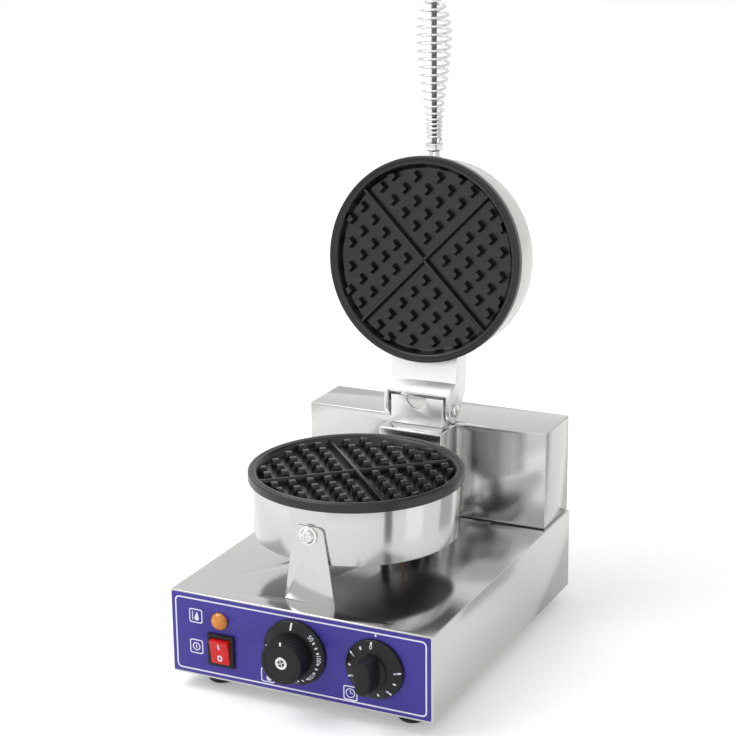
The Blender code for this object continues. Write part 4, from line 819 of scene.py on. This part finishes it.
class WAFFLE_OT_timer_dial(Operator):
    """Timer dial: skirt with minutes on its slope, boss and bar grip"""
    bl_idname = "waffle.timer_dial"
    bl_label = "Timer dial"

    def execute(self, context):
        place, radius, top = control_seat("timer_knob")
        cone = dial_cone(17.0 * MM, 7.2 * MM, radius)
        boss = 13.5 * MM
        skirt = lathe([(0.0, 9.2 * MM), (boss - 1.2 * MM, 9.2 * MM), (boss - 0.4 * MM, 8.8 * MM),
                       (boss, 8.0 * MM), (boss, 7.4 * MM), (cone[0][0] - 0.5 * MM, 7.35 * MM),
                       *skirt_rim(cone, radius)], SKIRT_SIDES)
        half_width = 7.4 * MM
        half_length = 14.8 * MM
        bar = raised(rounded_rectangle(half_width, half_length, 5.5 * MM, count=9), 6.0 * MM, top)
        for vert in bar.verts:
            if vert.co.z > top - 1e-6:
                vert.co.x *= 0.88
                vert.co.y *= 0.95
        rim = [e for e in bar.edges if all(abs(v.co.z - top) < 1e-7 for v in e.verts)]
        round_edges(bar, rim, 1.1 * MM, 3)
        merge_into(skirt, bar)
        piece("timer_dial_knob", skirt, black_plastic(), "timer_dial",
              ("timer_knob",), place)
        zero = -4.0
        step = -54.0
        halves = [(zero + step * (i + 0.5), 0.40, 0.72) for i in range(5)]
        wholes = [(zero + step * i, 0.70, 1.0) for i in range(6)]
        numbers = [(zero + step * i, str(i)) for i in range(6)]
        marks = dial_marks(cone, halves + wholes, numbers, settings("dial").digit)
        piece("timer_dial_marks", marks, ink(), "timer_dial", place=place)
        return {"FINISHED"}


class WAFFLE_OT_lamp_and_switch(Operator):
    """Faceted amber lamp, switch bezel and red rocker with its two signs"""
    bl_idname = "waffle.lamp_and_switch"
    bl_label = "Lamp and switch"

    def execute(self, context):
        place, radius, top = control_seat("lamp_lens")
        lens = lathe([(0.0, top), (radius * 0.42, top - 0.5 * MM), (radius * 0.78, top - 2.2 * MM),
                      (radius * 0.96, top - 4.2 * MM), (radius, 0.4 * MM), (0.0, 0.4 * MM)], 10)
        round_edges(lens, sharp_edges(lens, math.radians(12)), 0.35 * MM, 2)
        piece("amber_lens", lens, amber_glass(), "base",
              ("lamp_lens",), place, math.radians(20))
        carried("rocker_frame", "switch_bezel", black_plastic(), "base", 0.5 * MM)
        self.rocker()
        return {"FINISHED"}

    def rocker(self):
        """The button's face is a shallow hollow along the rocking axis, drawn across a bent outline."""
        joint = next(j for j in frame["joints"] if j["name"] == "rocker_switch")
        pivot = Vector(joint["pos_m"])
        tilt = math.radians(9)
        half_x, half_z = 9.0 * MM, 10.8 * MM
        crown, deep, hollow = 6.6 * MM, 5.0 * MM, 1.0 * MM

        def dip(b):
            return crown - hollow * (1 - (b / half_z) ** 2)

        steps = [half_z * (1 - i / 6) for i in range(13)]
        face = [(b, dip(b)) for b in steps]
        outline = [(-half_z, -deep / 2), (-deep, -deep), (deep, -deep), (half_z, -deep / 2)] + face
        button = raised(outline, -half_x, half_x)
        bmesh.ops.recalc_face_normals(button, faces=button.faces)
        round_edges(button, sharp_edges(button), 0.5 * MM, 3)
        lay = Matrix(((0, 0, 1, 0), (1, 0, 0, 0), (0, 1, 0, 0), (0, 0, 0, 1)))
        bmesh.ops.transform(button, matrix=lay, verts=button.verts)
        place = Matrix.Translation(pivot) @ Matrix.Rotation(math.radians(90) + tilt, 4, "X")
        piece("red_rocker", button, red_plastic(), "rocker", ("rocker_button",), place)
        marks = bmesh.new()
        rise = MARK_RISE * 2
        half_line, half_tall, tall = 0.75 * MM, 2.7 * MM, 1.15
        line = add_box(bmesh.new(), (-half_line, -half_tall, 0.0), (half_line, half_tall, rise))
        merge_into(marks, line, Matrix.Translation((0.0, half_z * 0.55, 0.0)))
        outer, inner = ([(a, b * tall) for a, b in arc((0.0, 0.0), radius, 0, 345, 24)]
                        for radius in (2.5 * MM, 1.3 * MM))
        ring = ring_strip(bmesh.new(), outer, inner, 0.0, rise)
        merge_into(marks, ring, Matrix.Translation((0.0, -half_z * 0.5, 0.0)))
        for vert in marks.verts:
            vert.co.z += dip(vert.co.y)
        bmesh.ops.recalc_face_normals(marks, faces=marks.faces)
        piece("rocker_signs", marks, ink(), "rocker", place=place)


# Plates

CAVITY = 8.0 * MM
PITCH = 16.0 * MM
FIRST = 13.8 * MM
STUD_BASE = 8.8 * MM
STUD_TOP = 5.8 * MM
STUD_DROP = 0.8 * MM
RIB_BASE = 5.2 * MM
RIB_TOP = 2.4 * MM
RIB_DROP = 2.2 * MM
RIM_INNER = 88.6 * MM
LIMIT = 85.0 * MM


def plate_body(outer, deep, band, skirt, sides):
    """Rim, bead groove, drafted wall with its fillet, floor and the skirt behind."""
    fillet = 1.6 * MM
    foot = RIM_INNER - 3.0 * MM
    profile = [(0.0, -CAVITY)]
    profile += [(a, b) for a, b in arc((foot - fillet, -CAVITY + fillet), fillet, -90, -18, 6)]
    profile += [(RIM_INNER - 1.1 * MM, -2.4 * MM), (RIM_INNER, -0.7 * MM), (RIM_INNER + 0.5 * MM, -0.2 * MM),
                (RIM_INNER + 1.2 * MM, 0.0)]
    groove = 92.0 * MM
    profile += [(groove - 0.8 * MM, 0.0), (groove - 0.4 * MM, -0.45 * MM), (groove + 0.4 * MM, -0.45 * MM),
                (groove + 0.8 * MM, 0.0)]
    round_edge = 1.3 * MM
    profile += arc((outer - round_edge, -round_edge), round_edge, 90, 0, 6)
    profile += arc((outer - 0.7 * MM, -band + 0.7 * MM), 0.7 * MM, 0, -90, 4)
    profile += [(skirt, -band), (skirt, -deep), (0.0, -deep)]
    return lathe(profile, sides)


def stud(bm, at, edge, spin):
    """One rounded stud, cut flat where it would reach past the cavity's wall."""
    one = bmesh.new()
    height = CAVITY - STUD_DROP + 0.4 * MM
    turn = Matrix.Rotation(spin, 4, "Z") @ Matrix.Translation((*at, -CAVITY + height / 2 - 0.4 * MM))
    bmesh.ops.create_cone(one, cap_ends=True, segments=4, radius1=STUD_BASE / math.sqrt(2),
                          radius2=STUD_TOP / math.sqrt(2), depth=height, matrix=turn)
    reach = max(v.co.xy.length for v in one.verts)
    if reach > LIMIT:
        way = Vector((*at, 0.0))
        way.rotate(Matrix.Rotation(spin, 3, "Z"))
        way.normalize()
        geom = list(one.verts) + list(one.edges) + list(one.faces)
        bmesh.ops.bisect_plane(one, geom=geom, dist=1e-7, plane_co=way * LIMIT, plane_no=way,
                               clear_outer=True)
        open_edges = [e for e in one.edges if e.is_boundary]
        if open_edges:
            bmesh.ops.holes_fill(one, edges=open_edges, sides=0)
    if one.faces:
        round_edges(one, sharp_edges(one), edge, 2)
        merge_into(bm, one)
    else:
        one.free()
    return bm


def stud_places():
    places = []
    for quarter in range(4):
        turn = Matrix.Rotation(math.radians(45 + 90 * quarter), 2)
        for i in range(5):
            for j in range(5):
                across = Vector((FIRST + i * PITCH, FIRST + j * PITCH))
                inner = across - Vector((STUD_BASE, STUD_BASE)) / 2
                if i + j <= 5 and inner.length < RIM_INNER - 3.0 * MM - STUD_BASE / 2:
                    places.append(turn @ across)
    return places


def cast_plate(cfg, spin, band, deep, skirt, outer):
    """A whole plate: its body, the studs of four quarters and the two crossed ribs."""
    bm = plate_body(outer, deep, band, skirt, cfg.sides)
    for at in stud_places():
        stud(bm, at, cfg.stud_edge, spin)
    for angle in (45, -45):
        rib = bmesh.new()
        height = CAVITY - RIB_DROP + 0.4 * MM
        made = bmesh.ops.create_cube(rib, size=1.0)["verts"]
        for vert in made:
            top = vert.co.z > 0
            width = RIB_TOP if top else RIB_BASE
            vert.co = Vector((vert.co.x * 2 * (RIM_INNER + 0.5 * MM), vert.co.y * width,
                              -RIB_DROP if top else -RIB_DROP - height))
        round_edges(rib, sharp_edges(rib), cfg.rib_edge, 2)
        merge_into(bm, rib, Matrix.Rotation(math.radians(angle) + spin, 4, "Z"))
    return bm


class WAFFLE_OT_plates(Operator):
    """Both cast waffle plates with rounded studs, ribs and beaded rims"""
    bl_idname = "waffle.plates"
    bl_label = "Waffle plates"

    def execute(self, context):
        cfg = settings("plate")
        low, high = corners("lower_plate")
        outer = (high.x - low.x) / 2
        band = 8.0 * MM
        deep = high.z - low.z
        skirt = 89.3 * MM
        place = Matrix.Translation(((low.x + high.x) / 2, (low.y + high.y) / 2, high.z))
        for name, node, body, spin, at in (("lower_cast_plate", "lower_plate", "base", -2.6, place),
                                           ("upper_cast_plate", "upper_plate", "lid", 1.2, lid_place())):
            bm = cast_plate(cfg, math.radians(spin), band, deep, skirt, outer)
            piece(name, bm, cast_coat(), body, (node,), at)
        return {"FINISHED"}


def lid_place():
    """The upper plate's rim plane, with local Z out of the cooking face and local X to the left."""
    joint = next(j for j in frame["joints"] if j["name"] == "lid_hinge")
    pivot = Vector(joint["pos_m"])
    low, high = corners("lower_plate")
    closed_gap = 0.6 * MM
    seat = Matrix.Translation((0.0, (low.y + high.y) / 2 - pivot.y, high.z + closed_gap - pivot.z))
    opened = Matrix.Rotation(-math.radians(joint["range_deg"][1]), 4, "X")
    return Matrix.Translation(pivot) @ opened @ seat @ Matrix.Rotation(math.pi, 4, "Y")


class WAFFLE_OT_heads(Operator):
    """Sheet drums of both heads, the pan and the support screws"""
    bl_idname = "waffle.heads"
    bl_label = "Heads"

    def execute(self, context):
        edge = settings("sheet").edge
        carried("lower_shell", "lower_drum", steel("ring"), "base", edge)
        carried("upper_shell", "upper_drum", steel("lid ring"), "lid", edge)
        carried("lower_pan", "drum_pan", plain_steel(), "base")
        for side in ("front", "rear"):
            carried(side + "_support_screw", side + "_drum_screw", bright_steel(), "base",
                    0.25 * MM)
        finish_node("upper_element", plain_steel())
        finish_node("upper_insulation", fibre())
        return {"FINISHED"}


class WAFFLE_OT_hinge(Operator):
    """Notched bracket, channel arm and its cover, pivot bolts, nuts and washers"""
    bl_idname = "waffle.hinge"
    bl_label = "Hinge"

    def execute(self, context):
        edge = settings("sheet").edge
        carried("hinge_bracket", "notched_bracket", satin_steel(), "base", edge)
        carried("hinge_arm", "channel_arm", satin_steel(), "lid", edge)
        carried("hinge_arm_cover", "channel_cover", satin_steel(), "lid", edge)
        for side in ("left", "right"):
            carried("pivot_bolt_" + side, "lid_bolt_" + side, bright_steel(), "base",
                    0.2 * MM)
            carried("pivot_nut_" + side, "lid_nut_" + side, plain_steel(), "base", 0.3 * MM)
            carried("pivot_washer_" + side, "lid_washer_" + side, plain_steel(), "base",
                    0.2 * MM)
        finish_node("arm_lead_sleeve", rubber())
        return {"FINISHED"}


def coil_points(cfg, low, high, middle):
    """The grip's helix: the radius swells to a belly and closes again, and the pitch opens past its foot."""
    belly_share, close_pitch, open_pitch = 0.77, 3.95 * MM, 7.3 * MM
    close_turns, easing_turns = 4, 3
    straight = 2 * cfg.wire
    length_in = high - low - 2 * straight
    points = []
    height, step = 0.0, 0
    while height < length_in:
        along = height / length_in
        if along < belly_share:
            radius = cfg.foot + (cfg.belly - cfg.foot) * (1 - math.cos(math.pi * along / belly_share)) / 2
        else:
            closing = (along - belly_share) / (1 - belly_share)
            radius = cfg.top + (cfg.belly - cfg.top) * math.cos(math.pi / 2 * closing)
        turns = step / cfg.steps
        angle = math.tau * turns
        points.append((middle.x + radius * math.cos(angle), middle.y + radius * math.sin(angle),
                       low + straight + height))
        eased = min(max((turns - close_turns) / easing_turns, 0), 1)
        height += (close_pitch + (open_pitch - close_pitch) * eased) / cfg.steps
        step += 1
    first, last = points[0], points[-1]
    return [(first[0], first[1], low)] + points + [(last[0], last[1], high)]


class WAFFLE_OT_handle(Operator):
    """Boss, hex nut, rod, wire coil grip and end nut"""
    bl_idname = "waffle.handle"
    bl_label = "Handle"

    def execute(self, context):
        cfg = settings("handle")
        for node, name, edge in (("handle_boss", "grip_boss", 0.4 * MM), ("handle_nut", "grip_nut", 0.4 * MM),
                                 ("handle_end_nut", "grip_end_nut", 0.4 * MM)):
            carried(node, name, bright_steel(), "lid", edge)
        carried("handle_rod", "grip_rod", dark_steel(), "lid")
        low, high = corners("handle_spring")
        middle = sum(corners("handle_rod"), Vector()) / 2
        curve = bpy.data.curves.new("grip_coil", "CURVE")
        curve.dimensions = "3D"
        curve.bevel_depth = cfg.wire
        curve.bevel_resolution = 4
        curve.use_fill_caps = True
        spline = curve.splines.new("POLY")
        points = coil_points(cfg, low.z, high.z, middle)
        spline.points.add(len(points) - 1)
        for point, at in zip(spline.points, points):
            point.co = (*at, 1.0)
        spline.use_smooth = True
        curve.materials.append(bright_steel())
        coil = bpy.data.objects.new("grip_coil", curve)
        context.scene.collection.objects.link(coil)
        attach(coil, "lid")
        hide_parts("handle_spring")
        return {"FINISHED"}


# Stage

# The photograph's camera: degrees, metres, and its focal length and width in pixels
CAMERA = {"azimuth": 25.98, "elevation": 16.27, "roll": -0.68, "at": (0.69768, -1.44526, 0.73332),
          "focal": 1883.20, "frame": 736.0}


class WAFFLE_OT_stage(Operator):
    """Pale floor, soft light all round, one large lamp and the photograph's camera"""
    bl_idname = "waffle.stage"
    bl_label = "Stage"

    def execute(self, context):
        cfg = settings("stage")
        scene = context.scene
        scene.view_settings.view_transform = "Standard"
        floor = bmesh.new()
        bmesh.ops.create_grid(floor, x_segments=1, y_segments=1, size=6.0)
        mesh = bpy.data.meshes.new("floor")
        floor.to_mesh(mesh)
        floor.free()
        mesh.materials.append(self.floor_material(cfg))
        obj = bpy.data.objects.new("floor", mesh)
        scene.collection.objects.link(obj)
        self.world(scene, cfg)
        self.lamp("key_lamp", (-1.3, -0.8, 2.3), 1.8, cfg.key)
        self.lamp("front_lamp", (0.9, -2.6, 1.3), 1.2, cfg.key * 0.15)
        # Upright cards by azimuth, width and brightness: two bright ones, a dark gap and a grey one
        for name, azimuth, width, tone in (("left_card", -22, 0.27, 1.25), ("gap_card", 56, 0.05, 0.25),
                                           ("right_card", 84, 0.13, 1.35), ("rear_card", 130, 0.16, 0.6)):
            self.card(name, math.radians(azimuth), width, tone)
        self.camera(scene)
        return {"FINISHED"}

    def card(self, name, azimuth, width, tone):
        """An upright card near the machine which only its metal shows, as a photographer sets them."""
        reach, height = 0.38, 0.5
        bm = bmesh.new()
        bmesh.ops.create_grid(bm, x_segments=1, y_segments=1, size=0.5)
        place = (Matrix.Translation((0.0, -0.04, height / 2)) @ Matrix.Rotation(azimuth, 4, "Z")
                 @ Matrix.Translation((0.0, -reach, 0.0)) @ OUT @ Matrix.Diagonal((width, height, 1.0, 1.0)))
        bmesh.ops.transform(bm, matrix=place, verts=bm.verts)
        mesh = bpy.data.meshes.new(name)
        bm.to_mesh(mesh)
        bm.free()
        mat, tree, shader = new_material(name)
        shader.inputs["Base Color"].default_value = (0.0, 0.0, 0.0, 1.0)
        shader.inputs["Specular IOR Level"].default_value = 0.0
        shader.inputs["Emission Color"].default_value = (1.0, 1.0, 1.0, 1.0)
        shader.inputs["Emission Strength"].default_value = tone
        mesh.materials.append(mat)
        obj = bpy.data.objects.new(name, mesh)
        bpy.context.scene.collection.objects.link(obj)
        obj.visible_camera = obj.visible_diffuse = obj.visible_shadow = obj.visible_transmission = False

    def floor_material(self, cfg):
        mat, tree, shader = new_material("Floor")
        shader.inputs["Base Color"].default_value = (*cfg.backdrop, 1.0)
        shader.inputs["Roughness"].default_value = 0.9
        shader.inputs["Specular IOR Level"].default_value = 0.0
        shader.inputs["Emission Color"].default_value = (*cfg.backdrop, 1.0)
        path = tree.nodes.new("ShaderNodeLightPath")
        seen = math_node(tree, "MAXIMUM", path.outputs["Is Camera Ray"], path.outputs["Is Glossy Ray"])
        away = tree.nodes.new("ShaderNodeVectorMath")
        away.operation = "LENGTH"
        link(tree, tree.nodes.new("ShaderNodeTexCoord").outputs["Object"], away.inputs[0])
        # The floor's own glow rises from the machine's foot, where the lamps reach, to the horizon
        far = tree.nodes.new("ShaderNodeMapRange")
        far.interpolation_type = "SMOOTHSTEP"
        for socket, value in (("From Min", 0.35), ("From Max", 1.8), ("To Min", 0.24), ("To Max", 0.42)):
            far.inputs[socket].default_value = value
        link(tree, away.outputs["Value"], far.inputs["Value"])
        strength = math_node(tree, "MULTIPLY", seen, far.outputs["Result"])
        link(tree, strength, shader.inputs["Emission Strength"])
        return mat

    def world(self, scene, cfg):
        world = bpy.data.worlds.new("studio")
        world.use_nodes = True
        tree = world.node_tree
        back = tree.nodes["Background"]
        back.inputs["Color"].default_value = (*cfg.backdrop, 1.0)
        path = tree.nodes.new("ShaderNodeLightPath")
        bent = math_node(tree, "MAXIMUM", path.outputs["Is Glossy Ray"], path.outputs["Is Transmission Ray"])
        seen = math_node(tree, "MAXIMUM", path.outputs["Is Camera Ray"], bent)
        strength = mixed(tree, seen, cfg.fill, 1.0, "FLOAT")
        link(tree, strength, back.inputs["Strength"])
        scene.world = world

    def lamp(self, name, at, size, power):
        light = bpy.data.lights.new(name, "AREA")
        light.shape = "SQUARE"
        light.size = size
        light.energy = power
        obj = bpy.data.objects.new(name, light)
        obj.location = at
        way = Vector((0.0, 0.0, 0.2)) - Vector(at)
        obj.rotation_euler = way.to_track_quat("-Z", "Y").to_euler()
        bpy.context.scene.collection.objects.link(obj)

    def camera(self, scene):
        azimuth, elevation, roll = (math.radians(CAMERA[k]) for k in ("azimuth", "elevation", "roll"))
        back = Vector((math.sin(azimuth) * math.cos(elevation), -math.cos(azimuth) * math.cos(elevation),
                       math.sin(elevation)))
        right = Vector((math.cos(azimuth), math.sin(azimuth), 0.0))
        up = back.cross(right)
        across = math.cos(roll) * right + math.sin(roll) * up
        over = -math.sin(roll) * right + math.cos(roll) * up
        data = bpy.data.cameras.new("photo_camera")
        data.sensor_width = 36.0
        data.lens = CAMERA["focal"] / CAMERA["frame"] * data.sensor_width
        obj = bpy.data.objects.new("photo_camera", data)
        turn = Matrix((across, over, back)).transposed().to_4x4()
        obj.matrix_world = Matrix.Translation(CAMERA["at"]) @ turn
        scene.collection.objects.link(obj)
        scene.camera = obj


OPERATORS = (WAFFLE_OT_housing, WAFFLE_OT_panel, WAFFLE_OT_thermostat_dial, WAFFLE_OT_timer_dial,
             WAFFLE_OT_lamp_and_switch, WAFFLE_OT_plates, WAFFLE_OT_heads, WAFFLE_OT_hinge, WAFFLE_OT_handle,
             WAFFLE_OT_stage)


class WAFFLE_PT_dressing(Panel):
    """Lists the pieces and their settings"""
    bl_idname = "WAFFLE_PT_dressing"
    bl_label = "Waffle Maker"
    bl_space_type = "VIEW_3D"
    bl_region_type = "UI"
    bl_category = "Waffle Maker"

    def draw(self, context):
        for operator in OPERATORS:
            self.layout.operator(operator.bl_idname)
        for name, group in SETTINGS.items():
            box = self.layout.box()
            box.label(text=name.capitalize())
            for prop in group.__annotations__:
                box.prop(settings(name), prop)


CLASSES = tuple(SETTINGS.values()) + OPERATORS + (WAFFLE_PT_dressing,)


def register():
    for cls in CLASSES:
        bpy.utils.register_class(cls)
    for name, group in SETTINGS.items():
        setattr(bpy.types.Scene, "waffle_" + name, PointerProperty(type=group))


def unregister():
    for name in SETTINGS:
        delattr(bpy.types.Scene, "waffle_" + name)
    for cls in reversed(CLASSES):
        bpy.utils.unregister_class(cls)


def main():
    register()
    for operator in OPERATORS:
        group, name = operator.bl_idname.split(".")
        getattr(getattr(bpy.ops, group), name)()
    bpy.context.view_layer.update()


if __name__ == "__main__":
    main()
